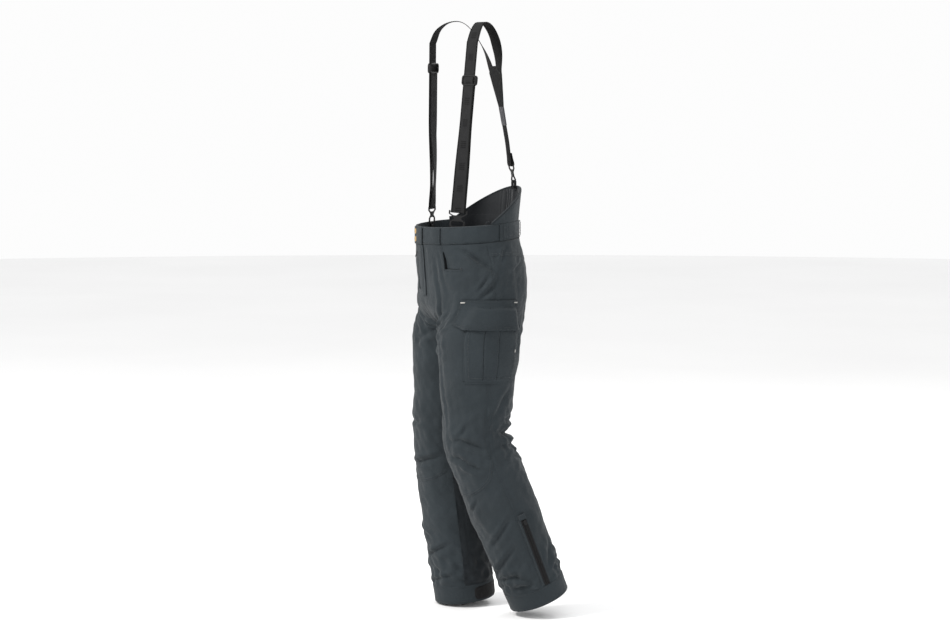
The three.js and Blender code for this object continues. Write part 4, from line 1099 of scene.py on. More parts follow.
def pouch_depth(z):
    """How far the pouch's outside stands off the leg: shallow at its mouth and towards its lower end."""
    mouth = 1 - smoothstep(CARGO["top"] - .056, CARGO["top"], z)
    foot = smoothstep(CARGO["bottom"], CARGO["bottom"] + .060, z)
    full = CARGO["depth"]
    return np.minimum(lerp(CARGO["mouth_depth"], full, mouth), lerp(full / 2, full, foot))


# The folded bellows side of the pouch: how far in from its edge, and the share of the depth reached.
BELLOWS = np.array([(-.004, .04), (-.0005, .10), (.0030, .26), (.0006, .42), (.0040, .58), (.0012, .74),
                    (.0022, .88), (.0045, .965), (.0080, 1.0)])


def pouch_face(z, fraction):
    """How far the pouch's face stands off its depth: it puffs and sags between its two pleats."""
    tall = CARGO["top"] - CARGO["bottom"] - .001
    puff = .0022 * np.sin(np.pi * fraction) * np.sin(np.pi * np.clip((CARGO["top"] - z) / tall, 0, 1))
    groove, swell = (sum(np.exp(-(((fraction - pleat) / wide) ** 2)) for pleat in CARGO["pleats"])
                     for wide in (.011, .05))
    sag = .0009 * np.sin(150 * z + 9 * fraction) * smoothstep(0, .2, fraction * (1 - fraction) * 4)
    return puff - (.0030 * groove - .0014 * swell) + sag


def add_cargo_pocket(side):
    """A bellows pouch on the outside of the thigh, open at its top, with two pleats down its face."""
    build = Build()
    z_low, z_high = CARGO["bottom"] + .001, CARGO["top"]
    shares = spaced([0, *[p + d for p in CARGO["pleats"] for d in (-.03, -.012, 0, .012, .03)], 1], .045)
    wide = (CARGO["to"] - CARGO["from"]) * THIGH_GIRTH
    face = lerp(.008, wide - .008, shares[1:-1])
    inset = np.concatenate([BELLOWS[:, 0], face, wide - BELLOWS[::-1, 0]])[None, :]
    rise = np.concatenate([BELLOWS[:, 1], np.ones(len(shares) - 2), BELLOWS[::-1, 1]])[None, :]
    fraction = np.clip((inset - .008) / (wide - .016), 0, 1)
    face_rows = spaced([z_high, z_low + .008], .006)
    z = np.concatenate([face_rows, z_low + BELLOWS[::-1, 0]])[:, None]
    foot = np.concatenate([np.ones(len(face_rows)), BELLOWS[::-1, 1]])[:, None]
    around = CARGO["from"] + inset / THIGH_GIRTH
    share = np.minimum(rise, foot)
    depth = pouch_depth(np.minimum(z, CARGO["top"]))
    out = CARGO["seat"] + share * (depth - CARGO["seat"] - .0024) + pouch_face(z, fraction) * (share > .99)
    outer = skin_flat(side, z, around, out)
    inner = skin_flat(side, z, around, np.maximum(out - CARGO["wall"], .0004))
    build.sheet(outer, inner, cloth_coords(inset, z), kinds=(0, 2, 0))
    add_pouch_stitches(build, side, z_low, z_high)
    build.make(f"cargo_pocket_{side}", ["shell", "thread", "lining", "thread_pale"], f"thigh_{side}", "shell",
               named(side, "cargo_pocket"))


def add_pouch_stitches(build, side, z_low, z_high):
    """Rows round the pouch's face, and a pale bartack at its rear edge."""
    edge = CARGO["from"] + .010 / THIGH_GIRTH, CARGO["to"] - .010 / THIGH_GIRTH
    for a in edge:
        pouch_stitch(build, side, [(z, a) for z in np.linspace(z_high - .004, z_low + .012, 10)])
    for z in (z_high - .006, z_high - .020, z_low + .012):
        pouch_stitch(build, side, [(z, a) for a in np.linspace(*edge, 8)])
    for k in range(-3, 4):
        a = CARGO["to"] - .016 + .0005 * k
        pouch_stitch(build, side, [(-.326, a), (-.335, a)], .0006,
                     kind=3, length=.0085, gap=.0002, radius=.0006)


def skin_flat(side, z, around, out):
    """A point off the pattern without the folds, for what stands clear of the cloth below it."""
    z, around, out = np.broadcast_arrays(z, around, out)
    return stand(side, straight(z, around) + pattern_normal(z, around) * out[..., None])


def flat_stitch(build, side, places, lie, kind=1, **options):
    """A row of stitches on a cloth that lies `lie(z, around)` off the pattern."""
    line = pattern_line(places)
    z, around = line[:, 1], line[:, 0] / girth(line[:, 1])
    sew(build, lambda out: skin_flat(side, z, around, out), lie(z, around), kind=kind, **options)


def pouch_stitch(build, side, places, lift=0.0, **options):
    flat_stitch(build, side, places, lambda z, around: pouch_depth(z) - .0006 + lift, **options)


def flap_lie(z, around):
    """How far the flap's underside stands off the leg, over the pouch and past its edges."""
    over_pouch = smoothstep(CARGO["from"] - .050, CARGO["from"] + .012, around)
    over_pouch = over_pouch * (1 - smoothstep(CARGO["to"] - .012, FLAP["to"], around))
    covered = smoothstep(CARGO["top"] + .004, CARGO["top"] - .012, z)
    over = (pouch_depth(np.minimum(z, CARGO["top"])) + .0006) * covered
    return .0012 + over * over_pouch


def add_cargo_flap(side):
    """The pocket's flap, its lower front corner cut off, with two rows of stitches and bartacked ends."""
    build = Build()
    rows = spaced([FLAP["top"], FLAP["bottom"] + FLAP["corner_tall"], FLAP["bottom"]], .0035)[:, None]
    shares = np.concatenate([[0, .012], np.linspace(.035, .965, 44), [.988, 1]])[None, :]
    cut = np.clip((FLAP["bottom"] + FLAP["corner_tall"] - rows) / FLAP["corner_tall"], 0, 1)
    around = lerp(FLAP["from"] + FLAP["corner"] * cut, FLAP["to"], shares)
    border = np.minimum(np.minimum(shares, 1 - shares) * 8, np.minimum(rows - FLAP["bottom"], .006) / .0024)
    wave = .0006 * np.sin(60 * rows + 25 * around)
    plump = .0007 * smoothstep(0, 1, border) + wave * smoothstep(0, 2, border)
    low = flap_lie(rows, around)
    outer = skin_flat(side, rows, around, low + FLAP["thick"] - .0006 + plump)
    inner = skin_flat(side, rows, around, low + .0002)
    build.sheet(outer, inner, flat_coords(rows, around), kinds=(0, 3, 0))

    add_flap_stitches(build, side)
    materials = ["shell", "thread", "thread_pale", "lining"]
    build.make(f"cargo_flap_{side}", materials, f"cargo_flap_{side}", "shell", named(side, "cargo_flap"))


def flap_stitch(build, side, places, lift=.0004, **options):
    flat_stitch(build, side, places, lambda z, around: flap_lie(z, around) + FLAP["thick"] + lift, **options)


def add_flap_stitches(build, side):
    """Two rows round the flap, one along its top, and a pale bartack at each upper corner."""
    for inset in (.004, .010):
        near, far = FLAP["from"] + inset / THIGH_GIRTH, FLAP["to"] - inset / THIGH_GIRTH
        low, high = FLAP["bottom"] + inset, FLAP["top"] - .003
        turn = FLAP["from"] + FLAP["corner"] + inset * .7 / THIGH_GIRTH
        turn_z = FLAP["bottom"] + FLAP["corner_tall"] + inset * .2
        corners = [(high, near), (turn_z, near), (low, turn), (low, far), (high, far)]
        for p, q in zip(corners, corners[1:]):
            places = [(lerp(p[0], q[0], t), lerp(p[1], q[1], t)) for t in np.linspace(0, 1, 6)]
            flap_stitch(build, side, places)
    top_row = [(FLAP["top"] - .004, a) for a in np.linspace(FLAP["from"] + .006, FLAP["to"] - .006, 10)]
    flap_stitch(build, side, top_row)
    reach = .0085 / THIGH_GIRTH
    for a in (FLAP["from"] + .017, FLAP["to"] - .017):
        for k in range(6):
            z = FLAP["top"] - .0048 - k * .00045
            flap_stitch(build, side, [(z, a - reach), (z, a + reach)], .0012,
                        kind=2, length=.0140, gap=.0002, radius=.0006)


# ---------------------------------------------------------------- waistband and raised back

BACK_FROM = .62  # the band's back part is elasticated from here
BELT_LOOPS = (.2, .6, .86)
LOOP = {"width": .010, "thick": .0016, "lift": .0012, "tall": .044}
YOKE = {"start": .535, "height": .084, "flare": .007, "thick": .0035}


def gathers(s):
    """Uneven ruching along a gathered edge, from -1 to 1."""
    drift = 2.1 * np.sin(2 * np.pi * s / .043) + 1.2 * np.sin(2 * np.pi * s / .0197)
    return np.sin(2 * np.pi * s / .0115 + drift)


def band_rings(side, around, puckered):
    """Cross-sections of the waistband at places round the waist."""
    profile = [(.0030, 0), (.0009, -.0006), (.0001, -.0024), (-.0004, -.010), (-.0007, -.0235), (-.0004, -.037),
               (.0001, -BAND + .0022), (.0010, -BAND + .0004), (.0030, -BAND + .0001), (.0052, -BAND + .0010),
               (.0058, -BAND + .004), (.0058, -.0235), (.0058, -.004), (.0052, -.0008)]
    inset, z = (np.array(v)[None, :] for v in zip(*profile))
    around = np.asarray(around)[:, None]
    s = around * WAIST_GIRTH
    fade = smoothstep(0, .03, around - BACK_FROM) * puckered
    middle = np.sin(np.pi * np.clip(-z / BAND, 0, 1)) ** .5
    face = np.where(inset < .003, 1, -.6)
    ruche = gathers(s + .0022 * np.sin(z * 160 + s * 70)) * (.6 + .4 * np.sin(s * 83 + z * 60))
    inset = inset - .00062 * ruche * fade * (.35 + .65 * middle) * face
    inset = inset + .0004 * np.sin(2 * np.pi * s / .043) * (1 - fade)
    z = z + .0005 * gathers(s + .003) * fade * (1 - middle)
    return waist_point(side, z, around, inset), cloth_coords(s, z)


def belt_loop(build, side, place):
    """A strap that stands off the band and is sewn to it at its two ends."""
    half = LOOP["width"] / 2 / WAIST_GIRTH
    top, bottom = -BAND / 2 + LOOP["tall"] / 2, -BAND / 2 - LOOP["tall"] / 2
    path = [(top - .0045, .0009), (top - .0012, .0014), (top, .0026), (top - .004, .0036), (top - .011, .0038),
            (-BAND / 2, .0039), (bottom + .011, .0038), (bottom + .004, .0036), (bottom, .0026),
            (bottom + .0012, .0014), (bottom + .0045, .0009)]
    z, out = (np.array(v)[:, None] for v in zip(*path))
    around = place + np.array([-1, -.8, 0, .8, 1])[None, :] * half
    outer = waist_point(side, z, around, -out)
    inner = waist_point(side, z, around, -out + LOOP["thick"] * .75)
    build.sheet(outer, inner, cloth_coords(around * WAIST_GIRTH, z))
    for shift in (-.0028, .0028):
        rows = np.linspace(top - .003, bottom + .003, 12)
        band_stitch(build, side, rows, place + shift / WAIST_GIRTH, .0041)


def band_stitch(build, side, z, around, out):
    """A row of stitches on the waistband."""
    sew(build, lambda distance: waist_point(side, z, around, -distance), out, kind=1)


def add_waistband():
    """The band's two plain fronts and its elasticated back, with their belt loops."""
    for side in SIDES:
        build = Build()
        start = math.asin(.002 / WAIST["half_width"]) / math.pi
        rings, coords = band_rings(side, spaced([start, BACK_FROM - .001], .008), 0)
        build.tube(rings, coords)
        for z in (-.0035, -BAND + .0035):
            band_stitch(build, side, z, spaced([start + .006, BACK_FROM - .006], .01), .0003)
        for place in BELT_LOOPS[:2]:
            belt_loop(build, side, place)
        build.make(f"waistband_{side}", ["shell", "thread"], "trunk", "shell", [f"waistband_{side}"])
    build = Build()
    half = spaced([BACK_FROM + .001, 1], .0035)
    (left, left_coords), (right, right_coords) = (band_rings(side, half, 1) for side in SIDES)
    right_coords = right_coords * [-1, 1, 1] + [2 * WAIST_GIRTH, 0, 0]
    build.tube(np.concatenate([left, right[-2::-1]]), np.concatenate([left_coords, right_coords[-2::-1]]))
    for side in SIDES:
        belt_loop(build, side, BELT_LOOPS[2])
        for z in (-.012, -.0235, -.035):
            line, far = (waist_point(side, z, half[2:], inset) for inset in (-.0009, -.0029))
            sink = .0009 * gathers(half[2:] * WAIST_GIRTH)[:, None] * unit(line - far)
            thread(build, line - sink, far - line, kind=1)
    build.make("waistband_back", ["shell", "thread"], "trunk", "shell", ["waistband_back"])


def yoke_rise(around):
    """Height of the raised back above the band."""
    return .0015 + YOKE["height"] * np.sin(np.pi / 2 * (around - YOKE["start"]) / (1 - YOKE["start"]))


def yoke_point(side, around, share, inset):
    """A point of the raised back, at a share of its height and inside its outer face."""
    up = .0004 + share * yoke_rise(around)
    return waist_point(side, up, around, inset - YOKE["flare"] * up / YOKE["height"])


def add_facing(build, side):
    """The lining strip that covers the seam between the band and the raised back, inside."""
    z, around = np.array([.0085, .004, 0, -.012, -.030])[:, None], spaced([.5, 1], .008)[None, :]
    depth = .0052 - YOKE["flare"] * np.maximum(z, 0) / YOKE["height"] + .0011 * smoothstep(.004, -.004, z)
    layers = [waist_point(side, z, around, depth + d) for d in (0, .0008)]
    build.sheet(*layers, cloth_coords(around * WAIST_GIRTH, z), kinds=(1, 1, 1))


def add_raised_back():
    """The high back: an outer panel, a gathered inner one and a bound upper edge."""
    build = Build()
    half = spaced([YOKE["start"], 1], .004)
    share = np.linspace(0, .985, 22)[:, None]
    layers = {"outer": [], "inner": [], "coords": []}
    for side in SIDES:
        around = half[None, :]
        s = around * WAIST_GIRTH
        centre = smoothstep(.80, .93, around) * smoothstep(0, .25, share)
        centre = centre * (1 - smoothstep(.8, 1, share) * .5)
        bow = .0012 * np.sin(2 * np.pi * s / .11 + 2 * share) * np.sin(np.pi * share)
        layers["outer"].append(yoke_point(side, around, share, .0008 - bow - .0006 * gathers(s * .9) * centre))
        layers["inner"].append(yoke_point(side, around, share, .0042 - bow + .0011 * gathers(s * 1.2) * centre))
        along = s if side == "left" else 2 * WAIST_GIRTH - s
        up = share * yoke_rise(around)
        layers["coords"].append(cloth_coords(along, up))
    whole = {key: np.concatenate([grids[0], grids[1][:, -2::-1]], 1) for key, grids in layers.items()}
    build.sheet(whole["outer"], whole["inner"], whole["coords"], kinds=(0, 1, 0))
    left, right = (yoke_point(side, half, .99, .0025) for side in SIDES)
    line = np.concatenate([left, right[-2::-1]])
    flat_tube(build, curve_through(line[::3], .006), .0058, .0050, up=(0, 0, 1), kind=2)
    for side in SIDES:
        for level in (.88, .93):
            sew(build, lambda out: yoke_point(side, half, level, -out), -.0006, kind=3)
        for place in (.80, .90):
            sew(build, lambda out: yoke_point(side, place, np.linspace(.03, .9, 16), -out), -.0006, kind=3)
    for side in SIDES:
        add_facing(build, side)
    build.make("raised_back", ["shell", "lining", "shell_edge", "thread"], "trunk", "shell", ["back_yoke"])


def flat_tube(build, line, width, thick, up, kind=0, sides=12, across=None, face_kinds=None):
    """A rounded flat band along a line. Its width lies across `up`, or along given directions."""
    tangent = unit(np.gradient(line, axis=0))
    if across is None:
        across = unit(np.cross(np.broadcast_to(np.array(up, float), tangent.shape), tangent))
    normal = unit(np.cross(tangent, across))
    angle = np.linspace(0, 2 * np.pi, sides, endpoint=False) + np.pi / sides
    x = np.sign(np.cos(angle)) * np.abs(np.cos(angle)) ** .55 * width / 2
    y = np.sign(np.sin(angle)) * np.abs(np.sin(angle)) ** .35 * thick / 2
    rings = line[:, None] + x[None, :, None] * across[:, None] + y[None, :, None] * normal[:, None]
    coords = np.zeros(rings.shape)
    coords[..., 0], coords[..., 1] = x[None, :], lengths(line)[:, None]
    build.tube(rings, coords, kind=kind, face_kinds=face_kinds)
    return across, normal


# ---------------------------------------------------------------- fly

FLY = {"bottom": -.180, "hinge_x": .033, "cover_edge": -.011, "out": .0012, "thick": .0022, "curve": .190}
TAB = {"edge": -.026, "out": .0034}
SNAP = {"x": -.014, "heights": {"upper": -.013, "lower": -.034}, "radius": .0075}
FLY_ZIP = {"x": -.019, "depth": .0086, "length": .122, "width": .026}


def fly_point(x, z, out):
    """The front is nearly flat at the fly: a point at x, a height and a distance out."""
    top, bottom = WAIST["centre_y"] - WAIST["half_depth"], HIP["centre_y"] - HIP["half_depth"]
    f = np.maximum((-BAND - z) / (-BAND - HIP["z"]), 0)
    y = lerp(top, bottom, f) + x * x / (2 * FLY["curve"]) - out
    return np.stack(np.broadcast_arrays(x, y, z + TILT * top * smoothstep(HIP["z"], -BAND, z)), -1)


def fly_stitch(build, line, out):
    x, z = np.array(line).T
    sew(build, lambda distance: fly_point(x, z, distance), out, kind=1)


def add_placket():
    """The fly's outer flap, curving off to the hinge side at its foot, with a hook of two stitch rows."""
    build = Build()
    z = spaced([-BAND - .001, FLY["bottom"] - .012], .005)[:, None]
    curl = smoothstep(FLY["bottom"] + .028, FLY["bottom"] - .012, z) ** 2
    x = lerp(FLY["cover_edge"] + curl * .020, FLY["hinge_x"], np.linspace(0, 1, 14)[None, :])
    plump = .0006 * np.sin(np.pi * np.linspace(0, 1, 14))[None, :] + .0004 * np.sin(90 * z)
    outer = fly_point(x, z, FLY["out"] + FLY["thick"] - .0008 + plump)
    build.sheet(outer, fly_point(x, z, FLY["out"] + .0001), cloth_coords(x, z))
    hook = [(.026, -.052), (.026, -.100), (.0255, -.140), (.020, -.165), (.008, -.180), (.004, -.186)]
    for shift in (0, -.0055):
        line = curve_through([(a + shift, b - shift * .5) for a, b in hook], .003)
        fly_stitch(build, line, FLY["out"] + FLY["thick"])
    edge_row = [(FLY["cover_edge"] + .0028, a) for a in np.linspace(-.050, -.150, 20)]
    fly_stitch(build, edge_row, FLY["out"] + .0018)
    build.make("fly_placket", ["shell", "thread"], "fly_cover", "shell", ["fly_placket"], bevel=.0006)


def add_waist_tab():
    """The band's closing tab, stitched round its edge, with its two brass snap caps."""
    build = Build()
    z = np.array([-.0002, -.0030, -.012, -.0235, -.035, -.044, -.0468])[:, None]
    shares = np.concatenate([[0, .03], np.linspace(.1, .9, 9), [.97, 1]])[None, :]
    x = lerp(TAB["edge"], FLY["hinge_x"], shares)
    outer, inner = fly_point(x, z, TAB["out"] + FLY["thick"] - .0001), fly_point(x, z, TAB["out"] + .0001)
    build.sheet(outer, inner, cloth_coords(x, z))
    across, down = np.linspace(-.023, .030, 10), np.linspace(-.0035, -.0435, 10)
    for line in ([(a, -.0035) for a in across], [(a, -.0435) for a in across],
                 [(-.023, a) for a in down], [(.029, a) for a in down]):
        fly_stitch(build, line, TAB["out"] + FLY["thick"])
    build.make("waist_tab", ["shell", "thread"], "fly_cover", "shell", ["waist_tab"], bevel=.0007)

    # Radius as a share of the cap's, and height: a domed rim round a dished middle.
    cap = [(.9, -.0012), (1, -.0002), (.985, .0004), (.90, .00085), (.80, .0007), (.74, .00045),
           (.62, .00065), (.3, .0010), (.05, .0011)]
    for label, z in SNAP["heights"].items():
        face = Vector(fly_point(SNAP["x"], z, TAB["out"] + FLY["thick"] + .0001))
        basis = Matrix(((1, 0, 0, face.x), (0, 0, -1, face.y), (0, 1, 0, face.z), (0, 0, 0, 1)))
        build = Build()
        build.lathe([(SNAP["radius"] * share, height) for share, height in cap], basis)
        build.make(f"snap_cap_{label}", ["brass"], "fly_cover", "brass", [f"snap_cap_{label}"], smooth=50)


def add_fly():
    """The placket and tab over the zip, with the strip of cloth behind the zip."""
    add_placket()
    add_waist_tab()
    foot, top = (Vector(fly_point(FLY_ZIP["x"], z, -FLY_ZIP["depth"])) for z in (FLY["bottom"], -BAND - .006))
    basis = zip_basis(foot, top, Vector((0, -1, 0)))
    build = Build()
    zip_strip(build, basis, FLY_ZIP["length"], FLY_ZIP["width"])
    x = np.linspace(-.0052, .022, 8)[None, :]
    z = spaced([-BAND - .002, FLY["bottom"] - .010], .008)[:, None]
    build.sheet(fly_point(x, z, -.0102), fly_point(x, z, -.0112), cloth_coords(x, z), kinds=(3, 3, 3))
    build.make("fly_zip", ["tape", "coil", "thread_black", "shell"], "trunk", "elastic", ["fly_zip"])
    add_fly_pull()


def add_fly_pull():
    """The puller: a waisted tab with a round eye at its top and raised grips below."""
    low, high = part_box("fly_pull")
    top = Vector(((low.x + high.x) / 2, high.y - .0014, high.z - .0012))
    foot = Vector(((low.x + high.x) / 2, low.y + .0014, low.z + .0006))
    down = (foot - top).normalized()
    length = (foot - top).length
    out = down.cross(Vector((1, 0, 0))).normalized()
    build = Build()
    shares = np.linspace(0, 1, 30)
    wide = np.interp(shares, [0, .06, .16, .30, .45, .80, .95, 1],
                     [.0016, .0024, .0024, .0015, .0026, .0028, .0022, .0012])
    thick = np.interp(shares, [0, .1, .3, .45, .9, 1], [.0006, .0009, .0008, .0010, .0010, .0005])
    thick = thick + .00022 * (np.sin(shares * 75) > 0) * (shares > .48) * (shares < .92)
    angle = np.linspace(0, 2 * np.pi, 12, endpoint=False)
    rings = []
    for f, w, t in zip(shares, wide, thick):
        middle = np.array(top + down * length * f)
        rings.append([middle + np.array([w * math.cos(a), 0, 0]) + np.array(out) * t * math.sin(a)
                      for a in angle])
    build.tube(np.array(rings), np.zeros((len(shares), len(angle), 3)))
    build.make("fly_pull", ["plastic"], "fly_pull", "plastic", ["fly_pull"])


# ---------------------------------------------------------------- hand pocket bags

BAG = {"from": .205, "to": .37, "top": -.062, "bottom": -.196, "front": -.0065, "rear": -.0145}


def add_pocket_bag(side):
    """The lining pocket behind the hand opening: two layers sewn together round their edge."""
    build = Build()
    z = spaced([BAG["top"], BAG["bottom"]], .0067)[:, None]
    around = spaced([BAG["from"], BAG["to"]], .0068)[None, :]
    u = (around - BAG["from"]) / (BAG["to"] - BAG["from"])
    v = (z - BAG["top"]) / (BAG["bottom"] - BAG["top"])
    edge = np.minimum(np.minimum(u, 1 - u), np.minimum(v, 1 - v))
    loose = smoothstep(0, .12, edge)
    sag = .0008 * np.sin(160 * z + 30 * around)
    rear = BAG["front"] - .0016 + (BAG["rear"] - BAG["front"]) * loose + sag
    front_layer = [skin(side, z, around, BAG["front"] + d) for d in (0, -.0006)]
    rear_layer = [skin(side, z, around, rear + d) for d in (0, -.0006)]
    middle_z, middle = cell_middles(z[:, 0], around[0])
    opening = (middle > .212) & (middle < .245) & (middle_z < -.066) & (middle_z > -.116)
    for layer, mask in ((front_layer, ~opening), (rear_layer, None)):
        build.sheet(layer[0], layer[1], flat_coords(z, around), mask)
    piece = build.make(f"pocket_bag_{side}", ["lining"], slot="lining", replaces=[f"pocket_bag_{side}"])
    bends(piece, side, "hip")


# ---------------------------------------------------------------- suspenders

WEB = {"width": .040, "thick": .0016, "layer_gap": .0044}
STRAP = {
    "left": {
        "foot": (.122, -.062, .034), "head": (.106, -.016, .480),
        "over": [(.098, -.004, .515), (.090, .012, .533), (.082, .034, .524),
                 (.072, .055, .493), (.052, .071, .452), (.033, .080, .412)],
        "turns": (62, 52, 30), "adjuster": .775, "slack": .0005,
    },
    "right": {
        "foot": (.120, -.060, .034), "head": (.111, -.058, .480),
        "over": [(.104, -.046, .515), (.094, -.018, .536), (.086, .016, .536),
                 (.074, .045, .508), (.054, .068, .460), (.033, .080, .412)],
        "turns": (38, 27, 44), "adjuster": .85, "slack": .005,
    },
}
SLACK_TOP = .45
SEWN_END = (.028, .0824, .4013)  # inside the yoke
OVER = {"turn": 20, "from": .35, "to": .6}  # the webbing's turn behind the shoulder, and where


def run_across(strap, f):
    """The strap's direction across its width at a share f of its front run, before mirroring."""
    foot, low, high = strap["turns"]
    turn = np.where(f < .15, lerp(foot, low, smoothstep(0, .15, f)), lerp(low, high, smoothstep(.15, .55, f)))
    flat = np.stack([np.cos(np.radians(turn)), np.sin(np.radians(turn)), 0 * turn], -1)
    along = strap_ends(strap)[2]
    return unit(flat - (flat @ along)[..., None] * along)


def strap_ends(strap):
    """A strap's foot and head, before mirroring, and the direction between them."""
    foot, head = np.array(strap["foot"]), np.array(strap["head"])
    return foot, head, unit(head - foot)


def strap_line(side):
    """The webbing's middle and directions across it: down behind, round the hook, up in front and over."""
    strap = STRAP[side]
    foot, head, up = strap_ends(strap)
    gap = WEB["layer_gap"] / 2

    def run(f, off):
        across = run_across(strap, f)
        out = unit(np.cross(across, up))
        return foot + (head - foot) * f[..., None] + out * np.broadcast_to(off, f.shape)[..., None], across

    f = np.linspace(strap["adjuster"] - .022, 0, 46)
    slack = strap["slack"] * np.sin(np.pi * np.minimum(1, f / SLACK_TOP))
    rear = run(f, -gap - slack)
    angle = np.radians(np.array([-60, -30, 0, 30, 60]))
    out = unit(np.cross(run_across(strap, np.array(0.0)), up))
    turn = foot + gap * (np.sin(angle)[:, None] * out - np.cos(angle)[:, None] * up)
    front = run(np.linspace(0, 1, 60), gap)
    over = [front[0][-1], *strap["over"], SEWN_END]
    bend = curve_through(over, .007)[1:]
    share = lengths(bend) / lengths(bend)[-1]
    held = lerp(strap["turns"][2], OVER["turn"], smoothstep(0, OVER["from"], share))
    turns = np.radians(held * (1 - smoothstep(OVER["to"], 1, share)))
    across = np.stack([np.cos(turns), np.sin(turns), 0 * turns], -1)
    line = np.concatenate([rear[0], turn, front[0], bend])
    sideways = np.concatenate([rear[1], np.repeat(run_across(strap, np.zeros(1)), 5, 0), front[1], across])
    tangent = unit(np.gradient(line, axis=0))
    sideways = unit(sideways - np.einsum("ij,ij->i", sideways, tangent)[:, None] * tangent)
    mirror = np.array([SIDES[side], 1, 1])
    return line * mirror, sideways * mirror


def strap_basis(side, f):
    """Basis on a strap's front run, with X across it, Y out of its face and Z up it."""
    strap = STRAP[side]
    foot, head, up = strap_ends(strap)
    out = unit(np.cross(run_across(strap, np.array(float(f))), up))
    mirror = np.array([SIDES[side], 1, 1])
    at, out, up = (Vector(v * mirror) for v in (foot + (head - foot) * f, out, up))
    return face_basis(at, out, up)


def face_basis(at, out, up):
    """Basis with Y out of a face and Z up it."""
    basis = Matrix((out.cross(up), out, up)).transposed().to_4x4()
    basis.translation = at
    return basis


def add_strap(side):
    """One length of webbing, its marked face outward, with a stitch row along each edge."""
    build = Build()
    line, sideways = strap_line(side)
    sides = 12
    angle = np.linspace(0, 2 * np.pi, sides, endpoint=False) + np.pi / sides
    # The outer faces get the marked grey webbing. The inner faces get the near-black webbing, partly the
    # webbing's own dark back and partly a painted shade.
    faces_out = [1 if SIDES[side] * math.sin(a + np.pi / sides) < 0 else 0 for a in angle]
    flat_tube(build, line, WEB["width"], WEB["thick"], None, across=sideways, sides=sides, face_kinds=faces_out)
    normal = unit(np.cross(unit(np.gradient(line, axis=0)), sideways))
    for edge in (-.0165, .0165):
        run = line + sideways * edge - SIDES[side] * normal * WEB["thick"] / 2 * .95
        thread(build, run, -SIDES[side] * normal, length=.0028, gap=.0020, radius=.0003, kind=2)
    build.make(f"strap_{side}", ["webbing_black_and_shade", "webbing", "thread_black"], "suspenders", "webbing",
               named(side, "strap"))
    add_adjuster(side)


def rounded_rectangle(half_wide, half_tall, corner):
    """Forty evenly spaced points round a rectangle with round corners."""
    points = []
    for cx, cz, start in ((1, 1, 0), (-1, 1, 90), (-1, -1, 180), (1, -1, 270)):
        for a in np.radians(np.linspace(start, start + 90, 7)):
            points.append((cx * (half_wide - corner) + corner * math.cos(a), 0,
                           cz * (half_tall - corner) + corner * math.sin(a)))
    points.append(points[0])
    points = np.array(points)
    return round_loop(points, 40)


def round_loop(points, count):
    """Evenly spaced points round a loop whose last point is its first."""
    run = lengths(points)
    at = np.linspace(0, run[-1], count, endpoint=False)
    return np.stack([np.interp(at, run, values) for values in points.T], -1)


def add_adjuster(side):
    """The strap's slider: a rounded frame before and behind the webbing, with its middle bar."""
    build = Build()
    basis = strap_basis(side, STRAP[side]["adjuster"])
    out, up = np.array([0, 1.0, 0]), np.array([0, 0, 1.0])
    frame_line = rounded_rectangle(.0228, .0118, .0055)
    angle = np.linspace(0, 2 * np.pi, 12, endpoint=False)
    closed = np.vstack([frame_line[-1:], frame_line, frame_line[:1]])
    tangent = unit(closed[2:] - closed[:-2])
    outward = np.cross(tangent, out)
    for depth, fat, wide in ((.0035, .0016, .0021), (-.0040, .0012, .0019)):
        middle = frame_line + [0, depth, 0]
        sideways, forward = wide * np.cos(angle)[None, :, None], fat * np.sin(angle)[None, :, None]
        rings = middle[:, None] + sideways * outward[:, None] + forward * out
        build.tube(placed(rings, basis), np.zeros(rings.shape), looped=True)
    for way in (-1, 1):
        rounded_box(build, (way * .0232, -.0002, 0), (.0030, .0080, .0200), basis, 0, .5)
    line = np.array([(x, .0038, 0) for x in np.linspace(-.0222, .0222, 9)])
    turns = line[:, None] + .0019 * (np.cos(angle)[None, :, None] * out + np.sin(angle)[None, :, None] * up)
    build.tube(placed(turns, basis), np.zeros(turns.shape))
    build.make(f"adjuster_{side}", ["plastic"], f"adjuster_{side}", "plastic", named(side, "adjuster"))
    build = Build()
    z = np.array([-.0100, -.0080, -.0050, -.0022, 0, .0022, .0050, .0080, .0100])
    hump = np.array([.0030, .0036, .0048, .0060, .0064, .0060, .0048, .0036, .0030])
    line = placed(np.stack([0 * z, hump, z], -1), basis)
    across = across_of(basis, len(z))
    flat_tube(build, line, .0385, .0012, None, across=across)
    build.make(f"adjuster_turn_{side}", ["webbing"], f"adjuster_{side}", "webbing")


BACK = {
    "tab_top": (0, .1345, .108), "yoke_top": (0, .080, .412), "elastic": .033, "thick": .002, "fold_end": .078,
    "bar_z": .0463, "bar_turn": .0039, "patch_bottom": .154, "patch_top": .204, "yoke_end": .318,
}
TAB_BELOW_STRAP = .0464  # from the strap's lower end down to its tab's top


def back_basis():
    """Basis of the straps behind: Z runs from the back tab up to the yoke, and Y out of the back."""
    low, high = Vector(BACK["tab_top"]), Vector(BACK["yoke_top"])
    up = (high - low).normalized()
    basis = Matrix((Vector((1, 0, 0)), up.cross(Vector((1, 0, 0))), up)).transposed().to_4x4()
    basis.translation = low
    return basis


def tab(build, basis, width, drop, gap):
    """A fabric tab: up from inside the garment, over a bar, and down again."""
    a = np.linspace(0, np.pi, 11)
    arch = np.stack([0 * a, -np.cos(a) * gap, np.sin(a) * gap], -1)
    inner_leg, outer_leg = ([(0, way * gap, z) for z in np.linspace(*heights, 8)]
                            for way, heights in ((-1, (-drop, -.001)), (1, (-.001, -drop))))
    line = placed(np.concatenate([inner_leg, arch, outer_leg]), basis)
    across = across_of(basis, len(line))
    flat_tube(build, line, width, .0012, None, across=across)


